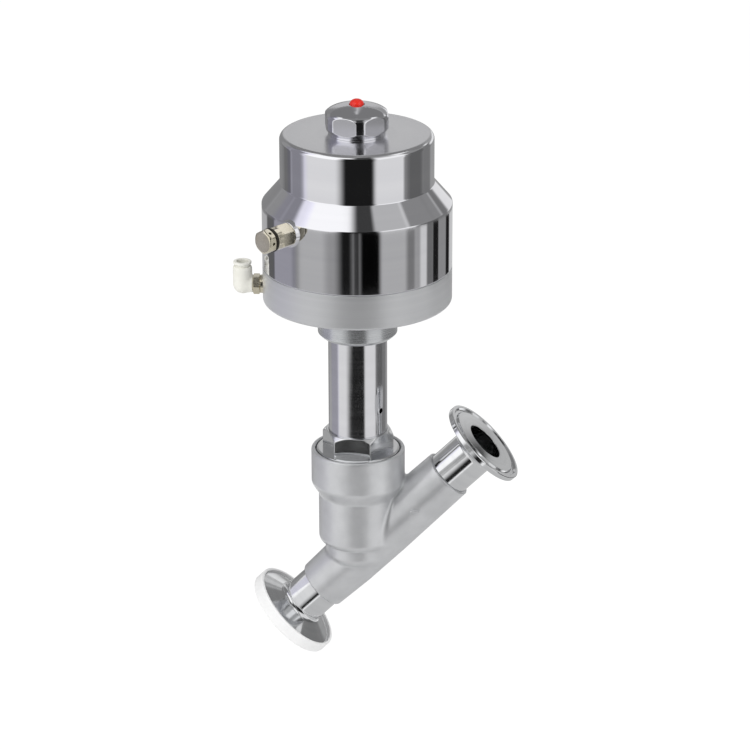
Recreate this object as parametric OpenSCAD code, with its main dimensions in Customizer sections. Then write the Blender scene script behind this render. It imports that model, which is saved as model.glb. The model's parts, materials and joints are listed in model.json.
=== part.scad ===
// Angle seat valve with a pneumatic piston actuator and clamp ferrule pipe ends.
// The stem stands on Z. The pipe runs through its foot at pipe_angle from the stem.
// Heights called _z are measured from the point where stem and pipe axes meet.
// The finished part is shifted so that its origin is the middle of the outlet face.

/* [Pipe ends] */
// Outside diameter of the clamp ferrules
ferrule_d = 50.5; // [46:0.5:52]
// Thickness of the ferrule rim at its edge
ferrule_rim_t = 2.85; // [2:0.05:4]
// Slope of the back of the ferrule rim, in degrees
ferrule_back_angle = 20; // [15:1:25]
// Fillet between the rim's back and the tube
ferrule_fillet = 3; // [1:0.25:4]
// Edge chamfer of the rim
ferrule_edge = 0.4; // [0.2:0.1:0.8]
// Mean diameter of the gasket groove
groove_d = 43.5; // [41:0.25:44]
// Width of the gasket groove
groove_w = 3.2; // [2.4:0.1:3.6]
// Depth of the gasket groove
groove_deep = 1.3; // [0.8:0.1:1.6]
// Outside diameter of the welded pipe stubs
tube_d = 25.4; // [24.4:0.1:27]
// Bore of the ferrules and stubs
tube_bore_d = 22.1; // [20:0.1:22.2]
// Angle between pipe and stem, in degrees
pipe_angle = 45; // [43:1:50]
// From the crossing of the axes to the outlet face
outlet_len = 98; // [90:1:115]
// From the crossing of the axes to the inlet face
inlet_len = 52.5; // [50:0.5:65]
// Length of the outlet ferrule with its stub
outlet_stub = 28; // [22:0.5:34]
// Length of the inlet ferrule with its stub
inlet_stub = 24; // [20:0.5:24.5]

/* [Cast body] */
// Diameter of the casting where it meets the stubs
cast_end_d = 28.4; // [27.4:0.1:30]
// Diameter of the cast pipe next to the bowl
cast_mid_d = 30.3; // [29.4:0.1:32]
// Bore of the cast pipe
cast_bore_d = 22.6; // [22.5:0.1:23]
// Outside diameter of the upright bowl
bowl_d = 43; // [42:0.5:44]
// Inside diameter of the bowl
bowl_bore_d = 35; // [34:0.5:36]
// Height of the bowl's lower lip
bowl_lip_z = 8.7; // [8:0.1:10]
// Round of the bowl's lower lip
bowl_round = 2.4; // [1:0.2:3]
// Wall under the bowl's floor
bowl_floor_t = 3.3; // [3:0.1:5]
// Diameter of the seat skirt under the bowl
skirt_d = 36; // [35:0.5:38]
// Inside diameter of the seat skirt
skirt_bore_d = 30.6; // [30:0.2:31]
// Height of the skirt's lower edge
skirt_z = -1.8; // [-3:0.1:-1.2]
// Height of the valve seat
seat_z = 4; // [3:0.25:5]
// Thickness of the wall that carries the seat
seat_wall = 3.4; // [3:0.1:4]
// Bore of the valve seat
seat_d = 22.1; // [20:0.1:22.4]
// Width of the raised seat land
seat_land_w = 1.8; // [1:0.1:2.2]
// Height of the raised seat land
seat_land_h = 0.8; // [0.4:0.1:1.2]
// Outside diameter of the threaded socket
socket_d = 50.8; // [49:0.2:53]
// Height of the socket's rim
socket_top_z = 63.3; // [60:0.5:68]
// Depth of the socket's thread, down to the gasket ledge
socket_deep = 19.3; // [17:0.1:21]
// Thread diameter of socket and bonnet
socket_thread_d = 40; // [39:0.5:41]
// Height of the socket's straight wall above its cone
socket_wall = 19.6; // [18:0.2:21]
// Height of the cone between socket and bowl
socket_cone = 6.2; // [5:0.2:8]
// Diameter of the recess in the socket's mouth
mouth_d = 46.4; // [45.5:0.1:46.8]
// Depth of the recess in the socket's mouth
mouth_deep = 2.4; // [1.5:0.1:3]
// Thickness of the bonnet gasket
gasket_t = 1.5; // [1:0.1:2]
// Length of the raised mark on the pipe's side
mark_len = 4.2; // [3:0.2:7]
// Height of the raised mark
mark_w = 1.2; // [0.8:0.1:2]
// How far the raised mark stands out of the cast pipe
mark_proud = 0.6; // [0.3:0.1:1]
// Distance of the raised mark from the axes' crossing
mark_at = 46; // [40:1:55]

/* [Bonnet and neck] */
// Across flats of the bonnet's hexagon
bonnet_af = 34; // [33:0.5:36]
// Turn of the bonnet's hexagon about the stem
bonnet_turn = 55.5; // [0:0.5:60]
// Height of the bonnet's hexagon
bonnet_hex_h = 10.9; // [9:0.1:13]
// Bevel on the hexagon's corners, above and below
bonnet_bevel = 1.1; // [0.6:0.1:1.6]
// Diameter of the bonnet's round flange
bonnet_flange_d = 45; // [43:0.2:45.4]
// Thickness of the bonnet's round flange
bonnet_flange_t = 2.5; // [2:0.1:3.5]
// Depth of the packing chamber below the bonnet's top
packing_deep = 23.6; // [22.8:0.2:24.6]
// Diameter of the packing chamber
packing_d = 18; // [16:0.5:19]
// Wall of the tube round the packing chamber
packing_wall = 2.5; // [2:0.1:2.8]
// Outside diameter of the neck tube
neck_d = 31.7; // [30.6:0.1:32.4]
// Wall of the neck tube
neck_wall = 3; // [2.2:0.1:3.3]
// Depth that the neck tube goes into the bonnet
neck_in_bonnet = 8; // [6:0.5:10]
// Neck length that shows between bonnet and collar
neck_shows = 54.7; // [48:0.5:70]
// Depth that the neck tube goes into the actuator
neck_in_base = 6; // [4:0.5:8]
// Diameter of the weep hole in the neck
weep_d = 2.6; // [1.5:0.1:4]
// Height of the weep hole above the bonnet
weep_up = 13.8; // [10:0.2:20]
// Direction of the weep hole about the stem
weep_angle = -32; // [-60:2:0]
// Diameter of the clamping collar
collar_d = 42.7; // [40:0.1:46]
// Height of the clamping collar
collar_h = 20.3; // [16:0.1:24]
// Chamfer of the clamping collar's lower edge
collar_edge = 1.8; // [0.5:0.1:3]

/* [Stem and plug] */
// Diameter of the stem
stem_d = 10; // [9:0.2:10.6]
// Diameter of the stem's threaded ends
stem_end_d = 8; // [7.4:0.2:8.4]
// Lift of the stem from closed to open
lift = 13; // [8:0.5:13.5]
// Diameter of the plug
plug_d = 28; // [27:0.2:28.6]
// Thickness of the plug's plate
plug_t = 5; // [3:0.25:7]
// Height of the plug's hub above its plate
plug_hub_h = 7; // [4:0.5:9]
// Diameter of the plug's hub
plug_hub_d = 17; // [14:0.5:19]
// Diameter of the soft seat disc
disc_d = 26.6; // [26:0.1:26.8]
// Thickness of the soft seat disc
disc_t = 4; // [3:0.25:5]
// Diameter of the clamp washer under the soft disc
clamp_washer_d = 18.6; // [17:0.2:19.4]
// Thickness of the clamp washer
clamp_washer_t = 2.6; // [1.6:0.1:3]
// Across flats of the nuts on the stem's ends
stem_nut_af = 13; // [12:0.25:13.5]
// Height of the nuts on the stem's ends
stem_nut_h = 5.6; // [4:0.2:6.5]
// Stem end left showing past each nut
stem_past = 1.2; // [0.5:0.1:2]
// Running clearance between a stem and its guides
run_gap = 0.05; // [0.03:0.01:0.08]
// Clearance between pieces that are screwed or pushed together
fit_gap = 0.1; // [0.05:0.01:0.15]

/* [Packing] */
// Length of the lower guide bush
guide_h = 4; // [3:0.25:5]
// Wall of the lower guide bush
guide_wall = 2.2; // [1.6:0.1:2.6]
// Height of each packing ring
packing_ring_h = 2; // [1.6:0.1:2.2]
// Height of the roof shape on the packing rings
packing_peak = 0.9; // [0.6:0.1:1.2]
// Number of packing rings
packing_count = 4; // [3:1:4]
// Height of the packing's end washers
packing_washer_h = 1.5; // [1:0.1:1.7]
// Wire diameter of the packing spring
packing_wire = 1.4; // [1:0.1:1.6]
// Turns of the packing spring
packing_turns = 4; // [3:1:4]
// Depth of the gland screw in the packing chamber
gland_deep = 5; // [4:0.25:5.5]
// Across flats of the gland screw's head
gland_af = 20; // [18:0.5:21]
// Height of the gland screw's head
gland_head_h = 4.5; // [3:0.25:6]

/* [Actuator] */
// Outside diameter of the actuator
actuator_d = 101; // [98:0.5:106]
// Height of the actuator's base ring
base_h = 19.4; // [17.5:0.1:22]
// Round of the base ring's lower edge
base_round = 3; // [1:0.25:4]
// Bevel at the top of the base ring
base_bevel = 0.6; // [0.3:0.1:1]
// Floor of the air chamber
base_floor = 2.5; // [2:0.1:2.5]
// Wall of the base ring round the air chamber
base_wall = 8.5; // [7:0.25:10]
// Diameter of the base's hub round the stem
base_hub_d = 38.6; // [38:0.2:42]
// Height of the base's hub above the ring
base_hub_up = 3; // [2:0.25:4]
// Height of the spigot that the housing sits on
spigot_h = 5; // [4:0.25:6]
// Diameter of the cylinder's sealing rings
o_ring_d = 2; // [1.6:0.1:2.2]
// Wall of the housing
housing_wall = 2.5; // [2:0.1:3]
// Height of the housing's wide cylinder
housing_low_h = 34.9; // [33.5:0.1:40]
// Height of the housing's cone
housing_cone_h = 11.4; // [9:0.2:14]
// Diameter of the housing's upper cylinder
housing_top_d = 81.6; // [78:0.2:88]
// Height of the housing's upper cylinder
housing_top_h = 26.4; // [22:0.2:32]
// Round of the shoulder between the wide cylinder and the cone
shoulder_round = 1; // [0.5:0.1:2]
// Round of the hollow between the cone and the upper cylinder
waist_round = 1.5; // [0.5:0.1:2.5]
// Round of the housing's top edge
housing_round = 2.4; // [1.5:0.1:3.5]
// Height of the piston
piston_h = 9; // [8:0.25:9.5]
// Gap over the base spigot when the piston rests
piston_rest_gap = 1; // [0.5:0.1:1.5]
// Radial gap between piston and housing
piston_gap = 0.25; // [0.15:0.05:0.4]
// Diameter of the piston's hub
piston_hub_d = 26; // [24:0.5:28]
// Height of the piston's hub above its plate
piston_hub_up = 3; // [2:0.25:4]
// Floor under the spring recess of the piston
piston_floor = 4; // [3:0.25:5]
// Width of the piston's rim outside the spring recess
piston_rim = 11; // [9:0.5:12]
// Height of the piston's rim under its seal
piston_land = 1.4; // [1.2:0.1:1.8]
// Height of the piston's seal
piston_seal_h = 2.6; // [2:0.1:2.8]
// Radial depth of the piston's seal
piston_seal_w = 3.2; // [2.6:0.1:3.6]
// Height of the piston's guide ring
guide_ring_h = 2.2; // [1.6:0.1:2.4]
// Radial depth of the piston's guide ring
guide_ring_w = 1.9; // [1.4:0.1:2.4]
// Diameter of the washer under the piston's nut
piston_washer_d = 20; // [18:0.5:22]
// Thickness of the washer under the piston's nut
piston_washer_h = 1.5; // [1:0.1:1.8]
// Length of the stem bush in the base
base_bush_h = 9; // [7:0.5:11]
// Wall of the stem bush in the base
base_bush_wall = 2.4; // [2:0.1:3]
// Mean diameter of the outer spring
outer_spring_d = 60; // [56:0.5:63]
// Wire diameter of the outer spring
outer_wire = 5; // [4:0.1:5.4]
// Turns of the outer spring
outer_turns = 6; // [5:1:7]
// Mean diameter of the inner spring
inner_spring_d = 38; // [36:0.5:42]
// Wire diameter of the inner spring
inner_wire = 3.6; // [3:0.1:4]
// Turns of the inner spring
inner_turns = 8; // [6:1:9]

/* [Top cap and indicator] */
// Diameter of the domed cap over its round corners
cap_d = 34.8; // [34:0.1:37]
// Across the six flats that are milled on the cap
cap_af = 32.2; // [31:0.1:33.4]
// Turn of the cap's flats about the stem
cap_turn = -77; // [-90:1:-60]
// Height of the domed cap
cap_h = 15.9; // [14:0.1:18]
// Diameter of the cap's foot
cap_foot_d = 30.4; // [29:0.1:32]
// Height of the cap's foot
cap_foot_h = 1; // [0.6:0.1:2]
// Height at which the bevel over the foot ends
cap_wall_low = 4; // [3:0.1:5]
// Height at which the cap's wall turns into its dome
cap_wall_high = 9.5; // [8:0.1:11]
// From the cap's foot to the wiper ring round the indicator
cap_ring_up = 5.3; // [4:0.1:8]
// Clearance round the indicator in the cap
cap_gap = 0.3; // [0.2:0.05:0.5]
// Diameter of the cap's threaded shank
cap_shank_d = 20; // [18:0.5:22]
// Length of the cap's threaded shank
cap_shank_h = 7; // [6:0.5:9]
// Diameter of the red indicator
indicator_d = 7.6; // [7:0.1:8.2]
// Height of the indicator's dome above the cap when closed
indicator_up = 2.8; // [2:0.1:4]
// Diameter of the stem's spigot in the indicator
indicator_pin_d = 4; // [3:0.2:4.4]
// Length of the stem's spigot in the indicator
indicator_pin_h = 6; // [4:0.5:8]

/* [Air fittings] */
// Direction of the air inlet about the stem
port_angle = 184; // [180:1:190]
// Height of the air inlet above the base ring's underside
port_up = 7.4; // [7.4:0.1:8]
// Thread diameter of the air fittings
port_d = 9.6; // [8:0.1:9.7]
// Depth of the spot face under the elbow's nut
spot_deep = 0.6; // [0.5:0.05:1]
// Length of the elbow's nut
elbow_nut_h = 5.8; // [5:0.1:7]
// Across flats of the elbow's nut
elbow_nut_af = 9.8; // [9.6:0.1:11]
// Length of the round collar on the elbow's nut
elbow_collar_h = 2; // [1:0.1:2.6]
// Diameter of that collar
elbow_collar_d = 9.9; // [9.7:0.1:10.6]
// Clearance of the spot face round the nut's corners
spot_gap = 0.5; // [0.3:0.1:1]
// Diameter of the elbow's upright leg
elbow_d = 10.4; // [10.2:0.1:11.6]
// Diameter of the elbow's level leg
elbow_leg_d = 9.2; // [8.8:0.1:10]
// Round of the upright leg's mouth
elbow_round = 1; // [0.5:0.1:1.1]
// From the end of the nut to the elbow's upright axis
elbow_reach = 5.6; // [5.5:0.05:7]
// From the port axis to the elbow's mouth
elbow_up = 10.4; // [10:0.1:13]
// From the port axis to the air tube's stop in the elbow
tube_stop_up = 3.4; // [3.2:0.1:3.8]
// From the port axis to the foot of the tube's seal
tube_seal_up = 4.2; // [4:0.1:4.6]
// Height of the tube's seal
tube_seal_h = 1.5; // [1.2:0.1:1.8]
// Step that stops the air tube
tube_step = 0.6; // [0.4:0.1:0.8]
// Diameter of the swivel spigot inside the elbow
swivel_d = 6; // [5:0.1:6.4]
// Wall of the swivel spigot
swivel_wall = 1.2; // [0.8:0.1:1.4]
// From the spigot's end to the elbow's upright axis
swivel_short = 1; // [0.7:0.1:1.5]
// Thickness of the soft ring at the spigot's end
swivel_ring_h = 0.4; // [0.3:0.05:0.5]
// Outside diameter of the air tube
air_tube_d = 6; // [5.6:0.1:6]
// Clearance round the air tube
air_tube_gap = 0.1; // [0.06:0.01:0.15]
// Wall of the release collet
collet_wall = 0.9; // [0.7:0.05:1]
// Width of the release collet's flange
collet_flange_w = 0.9; // [0.5:0.1:1]
// Thickness of the release collet's flange
collet_flange_t = 1.3; // [0.8:0.1:1.6]
// Gap that is left under the collet when it is pressed in
collet_gap = 0.2; // [0.1:0.05:0.3]
// Travel of the release collet
collet_press = 1; // [0.6:0.1:1.2]
// Direction of the exhaust silencer about the stem
silencer_angle = 232; // [226:1:240]
// Distance of the silencer's axis below the housing's cone
silencer_down = 5.6; // [5.2:0.1:6]
// Diameter of the weld boss under the silencer
boss_d = 14; // [13:0.2:15]
// Height of the weld boss outside the housing
boss_up = 1.4; // [1:0.1:2]
// Across flats of the silencer's hexagons
silencer_af = 11.8; // [11.4:0.1:13]
// Length of the silencer's base hexagon
silencer_hex_h = 8; // [6:0.1:9]
// Thickness of the soft ring under the silencer's head
silencer_ring_h = 1.6; // [1.2:0.1:2]
// How far that ring stands out of the barrel
silencer_ring_out = 0.4; // [0.2:0.1:0.6]
// Diameter of the silencer's barrel
silencer_d = 12; // [11.4:0.1:13]
// Length of the silencer's barrel
silencer_barrel_h = 3.2; // [2:0.1:4]
// Length of the silencer's head
silencer_head_h = 4.8; // [4.2:0.1:6]
// Thread diameter of the silencer in the housing
silencer_thread_d = 6.4; // [6:0.1:6.6]
// Wall round the air passage in the silencer's thread
silencer_thread_wall = 1.2; // [1:0.1:1.4]
// Depth of the floor under the silencer's filter
silencer_floor = 2; // [1.5:0.1:3]
// Diameter of the silencer's filter chamber
silencer_chamber_d = 7.2; // [6.8:0.1:7.6]
// Length of the head's shank in the silencer's base
silencer_shank_h = 5; // [3:0.1:6]
// End wall of the silencer's head
silencer_end_wall = 1.4; // [1:0.1:1.6]
// Number of vent holes in the silencer's head
vent_count = 6; // [3:1:6]
// Diameter of the vent holes
vent_d = 1.5; // [1:0.1:1.7]
// From the seal to the middle of the vent holes
vent_up = 2.2; // [2:0.1:2.4]

/* [Protective cap] */
// Clearance between protective cap and ferrule rim
cover_gap = 0.05; // [0.03:0.01:0.1]
// Side wall of the protective cap
cover_wall = 1.6; // [1.2:0.1:2.2]
// Depth of the protective cap behind the ferrule's face
cover_deep = 4.1; // [3.2:0.1:5]
// Thickness of the protective cap's disc
cover_t = 1.6; // [1.2:0.1:2.2]
// Height of the rim round the protective cap's disc
cover_rim = 1.2; // [0.6:0.1:2]
// Width of the rim round the protective cap's disc
cover_rim_w = 2.4; // [1.6:0.1:4]

/* [Hidden] */
$fn = 96;

// Share by which a hexagon's corners stand further out than its flats
hex_corner = 1 / cos(30);
// Overlap that keeps cuts open and joined forms whole
over = 1;
big = 300;
// Plain bevels and rounds of turned edges
edge = 1;
small_bevel = 0.5;
// Length by which threads stop short of their hole's end
thread_short = 0.3;
// Share of a soft ring's half height that its corners are rounded by
soft_share = 0.6;
// Pitch of a spring's closed end turns over its wire
closed_pitch = 1.04;
// Radial gap between a spring and the wall of its chamber
spring_gap = 0.5;

ferrule_r = ferrule_d / 2;
tube_r = tube_d / 2;
tube_bore_r = tube_bore_d / 2;
cast_bore_r = cast_bore_d / 2;
stem_r = stem_d / 2;
stem_end_r = stem_end_d / 2;
actuator_r = actuator_d / 2;

// Heights of the body and bonnet
ledge_z = socket_top_z - socket_deep;
bonnet_foot_z = ledge_z + gasket_t;
hex_foot_z = socket_top_z + fit_gap;
bonnet_top_z = hex_foot_z + bonnet_hex_h;
packing_floor_z = bonnet_top_z - packing_deep;
packing_r = packing_d / 2;
// Packing pieces lie one on another between the chamber's floor and the spring
packing_foot_z = packing_floor_z + packing_washer_h;
packing_head_z = packing_foot_z + packing_count * packing_ring_h;
gland_foot_z = bonnet_top_z - gland_deep;
neck_r = neck_d / 2;
neck_bore_r = neck_r - neck_wall;
neck_foot_z = bonnet_top_z - neck_in_bonnet;
collar_foot_z = bonnet_top_z + neck_shows;

// Heights of the actuator
base_z = collar_foot_z + collar_h;
neck_top_z = base_z + neck_in_base;
ring_top_z = base_z + base_h;
hub_top_z = ring_top_z + base_hub_up;
spigot_top_z = ring_top_z + spigot_h;
bore_r = actuator_r - housing_wall;
cone_foot_z = ring_top_z + housing_low_h;
cone_top_z = cone_foot_z + housing_cone_h;
housing_top_r = housing_top_d / 2;
deck_z = cone_top_z + housing_top_h;
ceiling_z = deck_z - housing_wall;
piston_z = spigot_top_z + piston_rest_gap;
piston_r = bore_r - piston_gap;
piston_hub_top_z = piston_z + piston_h + piston_hub_up;
// Grooves in the piston's rim
seal_low_z = piston_z + piston_land;
seal_high_z = seal_low_z + piston_seal_h;
guide_low_z = seal_high_z + edge;
guide_high_z = guide_low_z + guide_ring_h;
spring_foot_z = piston_z + piston_floor;
piston_nut_z = piston_hub_top_z + piston_washer_h;
stem_top_z = piston_nut_z + stem_nut_h + stem_past;
indicator_top_z = deck_z + cap_h + indicator_up;

// Heights of the plug's pieces
plug_foot_z = seat_z + disc_t;
disc_nut_z = seat_z - clamp_washer_t;
stem_foot_z = disc_nut_z - stem_nut_h - stem_past;

// Places of the air fittings
port_z = base_z + port_up;
port_r = port_d / 2;
nut_face_r = actuator_r - spot_deep;
elbow_axis_r = nut_face_r + elbow_nut_h + elbow_reach;
tube_hole_r = air_tube_d / 2 + air_tube_gap;
collet_r = tube_hole_r + collet_wall;
silencer_z = cone_foot_z - silencer_down;
silencer_face_r = actuator_r + boss_up;
silencer_bore_r = silencer_thread_d / 2 - silencer_thread_wall;
silencer_chamber_r = silencer_chamber_d / 2;
silencer_ring_z = silencer_hex_h + silencer_barrel_h;
silencer_head_z = silencer_ring_z + silencer_ring_h;

// Points of an arc about (x, y), from angle a to angle b, in the given number of steps
function arc(x, y, r, a, b, steps = 6) =
    [for (i = [0 : steps]) [x + r * cos(a + (b - a) * i / steps), y + r * sin(a + (b - a) * i / steps)]];

// Points of an elliptical dome from its wall at outer_r, low_z to its hole at inner_r, high_z
function dome(outer_r, inner_r, low_z, high_z, steps) =
    let (rise = (high_z - low_z) / sqrt(1 - pow(inner_r / outer_r, 2)), end = acos(inner_r / outer_r))
    [for (i = [0 : steps]) [outer_r * cos(end * i / steps), low_z + rise * sin(end * i / steps)]];

// Rise of a coil spring at a number of turns, with one closed turn at each end
function coil_rise(turn, turns, height, wire) =
    turn < 1 ? turn * wire * closed_pitch
    : turn > turns - 1 ? height - (turns - turn) * wire * closed_pitch
    : wire * closed_pitch + (turn - 1) * (height - 2 * wire * closed_pitch) / (turns - 2);

// Moves what is drawn about the stem to the part's own origin at the outlet face
module about_stem() {
    translate([-outlet_len * sin(pipe_angle), 0, -outlet_len * cos(pipe_angle)]) children();
}

// Stands what follows on the pipe's axis, with Z towards the outlet
module on_pipe() {
    rotate([0, pipe_angle, 0]) children();
}

// Lays what follows along a radius of the actuator, with Z outwards
module on_radius(angle, z, r) {
    rotate([0, 0, angle]) translate([r, 0, z]) rotate([0, 90, 0]) children();
}

module ring(outer_r, inner_r, low_z, high_z) {
    translate([0, 0, low_z]) difference() {
        cylinder(r = outer_r, h = high_z - low_z);
        translate([0, 0, -over]) cylinder(r = inner_r, h = high_z - low_z + 2 * over);
    }
}

// Hexagonal bar with beveled ends, corner towards the given angle
module hexagon(af, height, angle = 0, bevel = 0.8) {
    corner_r = af / 2 * hex_corner;
    intersection() {
        rotate([0, 0, angle]) cylinder(r = corner_r, h = height, $fn = 6);
        rotate_extrude() polygon([[0, 0], [corner_r - bevel * 2, 0], [corner_r, bevel],
            [corner_r, height - bevel], [corner_r - bevel * 2, height], [0, height]]);
    }
}

// Round wire coiled about Z, from low_z to high_z over its outside
module coil(mean_d, wire, turns, low_z, high_z, per_turn, sides) {
    count = turns * per_turn;
    height = high_z - low_z - wire;
    points = [for (i = [0 : count]) for (k = [0 : sides - 1])
        let (turn = i / per_turn, r = mean_d / 2 + wire / 2 * cos(360 * k / sides))
        [r * cos(360 * turn), r * sin(360 * turn),
            low_z + wire / 2 + coil_rise(turn, turns, height, wire) + wire / 2 * sin(360 * k / sides)]];
    skin = [for (i = [0 : count - 1]) for (k = [0 : sides - 1])
        [i * sides + k, i * sides + (k + 1) % sides, (i + 1) * sides + (k + 1) % sides, (i + 1) * sides + k]];
    start_cap = [[for (k = [sides - 1 : -1 : 0]) k]];
    end_cap = [[for (k = [0 : sides - 1]) count * sides + k]];
    polyhedron(points, concat(skin, start_cap, end_cap), convexity = 10);
}

// Outside of the casting before its passages are cut
module casting_outside() {
    bowl_r = bowl_d / 2;
    skirt_r = skirt_d / 2;
    socket_r = socket_d / 2;
    cone_z = socket_top_z - socket_wall;
    rotate_extrude() polygon(concat(
        [[0, skirt_z]],
        arc(skirt_r - bowl_round, skirt_z + bowl_round, bowl_round, -90, 0, 4),
        [[skirt_r, bowl_lip_z]],
        arc(bowl_r - bowl_round, bowl_lip_z + bowl_round, bowl_round, -90, 0, 4),
        [[bowl_r, cone_z - socket_cone], [socket_r, cone_z]],
        arc(socket_r - edge, socket_top_z - edge, edge, 0, 90, 3),
        [[0, socket_top_z]]));
    on_pipe() {
        translate([0, 0, -(inlet_len - inlet_stub)])
            cylinder(d1 = cast_end_d, d2 = cast_mid_d, h = inlet_len - inlet_stub);
        cylinder(d = cast_mid_d, h = bowl_d / 2);
        translate([0, 0, bowl_d / 2])
            cylinder(d1 = cast_mid_d, d2 = cast_end_d, h = outlet_len - outlet_stub - bowl_d / 2);
    }
}

// Passages of the casting: inlet below the seat wall, chamber and outlet above it
module casting_inside() {
    seat_r = seat_d / 2;
    skirt_bore_r = skirt_bore_d / 2;
    bowl_floor_z = bowl_lip_z + bowl_floor_t;
    intersection() {
        on_pipe() translate([0, 0, -inlet_len]) cylinder(r = cast_bore_r, h = inlet_len + bowl_d);
        translate([-big / 2, -big / 2, seat_z - seat_wall - big]) cube(big);
    }
    intersection() {
        on_pipe() translate([0, 0, -bowl_d / 2]) cylinder(r = cast_bore_r, h = outlet_len + bowl_d);
        translate([-big / 2, -big / 2, seat_z]) cube(big);
    }
    translate([0, 0, seat_z - seat_wall - over]) cylinder(r = seat_r, h = seat_wall + 2 * over);
    translate([0, 0, seat_z]) cylinder(r = skirt_bore_r, h = bowl_floor_z - seat_z + over);
    ring(skirt_bore_r, seat_r + seat_land_w, seat_z - seat_land_h, seat_z + over);
    translate([0, 0, bowl_floor_z]) cylinder(d = bowl_bore_d, h = ledge_z - bowl_floor_z + over);
    translate([0, 0, ledge_z]) cylinder(r = socket_thread_d / 2 + fit_gap, h = socket_deep + over);
    translate([0, 0, socket_top_z - mouth_deep]) cylinder(d = mouth_d, h = mouth_deep + over);
}

module valve_body() {
    color("silver") about_stem() {
        difference() {
            casting_outside();
            casting_inside();
        }
        cast_mark();
    }
}

// Short level bar that is cast on the pipe's side
module cast_mark() {
    mark_r = cast_mid_d / 2 + mark_proud;
    root_r = cast_end_d / 2 - over;
    on_pipe() translate([0, -(mark_r + root_r) / 2, mark_at]) rotate([0, -pipe_angle, 0])
        cube([mark_len, mark_r - root_r, mark_w], center = true);
}

// Ferrule and stub as one turned piece, with its face at z = 0 and the tube below it
module ferrule(stub) {
    back_z = -ferrule_rim_t - (ferrule_r - tube_r - ferrule_fillet) * tan(ferrule_back_angle);
    groove_r = groove_d / 2;
    rotate_extrude() polygon(concat(
        [[tube_bore_r, 0], [groove_r - groove_w / 2, 0]],
        [[groove_r - groove_w / 4, -groove_deep], [groove_r + groove_w / 4, -groove_deep]],
        [[groove_r + groove_w / 2, 0], [ferrule_r - ferrule_edge, 0], [ferrule_r, -ferrule_edge]],
        [[ferrule_r, -ferrule_rim_t]],
        arc(tube_r + ferrule_fillet, back_z - ferrule_fillet, ferrule_fillet,
            90 - ferrule_back_angle / 2, 180, 5),
        [[tube_r, -stub], [tube_bore_r, -stub]]));
}

module outlet_ferrule() {
    color("gainsboro") about_stem() on_pipe() translate([0, 0, outlet_len]) ferrule(outlet_stub);
}

module inlet_ferrule() {
    color("gainsboro") about_stem() on_pipe() mirror([0, 0, 1])
        translate([0, 0, inlet_len]) ferrule(inlet_stub);
}

// Push-on protective cap over the inlet ferrule's rim
module inlet_cover() {
    inner_r = ferrule_r + cover_gap;
    outer_r = inner_r + cover_wall;
    color("whitesmoke") about_stem() on_pipe() mirror([0, 0, 1]) translate([0, 0, inlet_len])
        rotate_extrude() polygon(concat(
            [[0, 0], [inner_r, 0], [inner_r, -cover_deep], [outer_r - small_bevel, -cover_deep]],
            [[outer_r, -cover_deep + small_bevel]],
            arc(outer_r - edge, cover_t + cover_rim - edge, edge, 0, 90, 4),
            [[outer_r - cover_rim_w, cover_t + cover_rim]],
            [[outer_r - cover_rim_w - edge, cover_t], [0, cover_t]]));
}

module body_gasket() {
    color("white") about_stem()
        ring(socket_thread_d / 2, bowl_bore_d / 2, ledge_z, bonnet_foot_z);
}

// Screwed bonnet: thread and packing chamber below, round flange and hexagon above
module bonnet() {
    thread_r = socket_thread_d / 2;
    flange_r = bonnet_flange_d / 2;
    flange_z = hex_foot_z - bonnet_flange_t + over;
    color("lightgray") about_stem() difference() {
        union() {
            translate([0, 0, bonnet_foot_z]) cylinder(r = thread_r, h = hex_foot_z - bonnet_foot_z);
            translate([0, 0, flange_z]) rotate_extrude()
                polygon([[0, 0], [flange_r, 0], [flange_r, bonnet_flange_t - edge],
                    [flange_r - edge, bonnet_flange_t], [0, bonnet_flange_t]]);
            translate([0, 0, hex_foot_z]) hexagon(bonnet_af, bonnet_hex_h, bonnet_turn, bonnet_bevel);
        }
        bonnet_inside();
    }
}

module bonnet_inside() {
    guide_r = stem_r + guide_wall;
    tube_r = packing_r + packing_wall;
    translate([0, 0, bonnet_foot_z - over]) cylinder(r = stem_r + spring_gap, h = big);
    translate([0, 0, packing_floor_z - guide_h]) cylinder(r = guide_r + fit_gap / 2, h = big);
    translate([0, 0, packing_floor_z]) cylinder(r = packing_r, h = big);
    ring(neck_r + fit_gap, tube_r, neck_foot_z, bonnet_top_z + over);
}

module neck_tube() {
    color("gray") about_stem() difference() {
        ring(neck_r, neck_bore_r, neck_foot_z, neck_top_z);
        on_radius(weep_angle, bonnet_top_z + weep_up, 0) cylinder(d = weep_d, h = neck_d);
    }
}

module clamp_collar() {
    collar_r = collar_d / 2;
    inner_r = neck_r + fit_gap;
    color("darkgray") about_stem() translate([0, 0, collar_foot_z]) rotate_extrude()
        polygon([[inner_r, 0], [collar_r - collar_edge, 0], [collar_r, collar_edge],
            [collar_r, collar_h], [inner_r, collar_h]]);
}

// Stem with its threaded ends and the pin that carries the indicator
module stem() {
    pin_top_z = stem_top_z + indicator_pin_h;
    pin_r = indicator_pin_d / 2;
    color("lightgray") about_stem() rotate_extrude() polygon([[0, stem_foot_z],
        [stem_end_r - small_bevel, stem_foot_z], [stem_end_r, stem_foot_z + small_bevel],
        [stem_end_r, plug_foot_z + plug_t], [stem_r, plug_foot_z + plug_t], [stem_r, piston_z],
        [stem_end_r, piston_z], [stem_end_r, stem_top_z],
        [pin_r, stem_top_z], [pin_r, pin_top_z], [0, pin_top_z]]);
}

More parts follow.
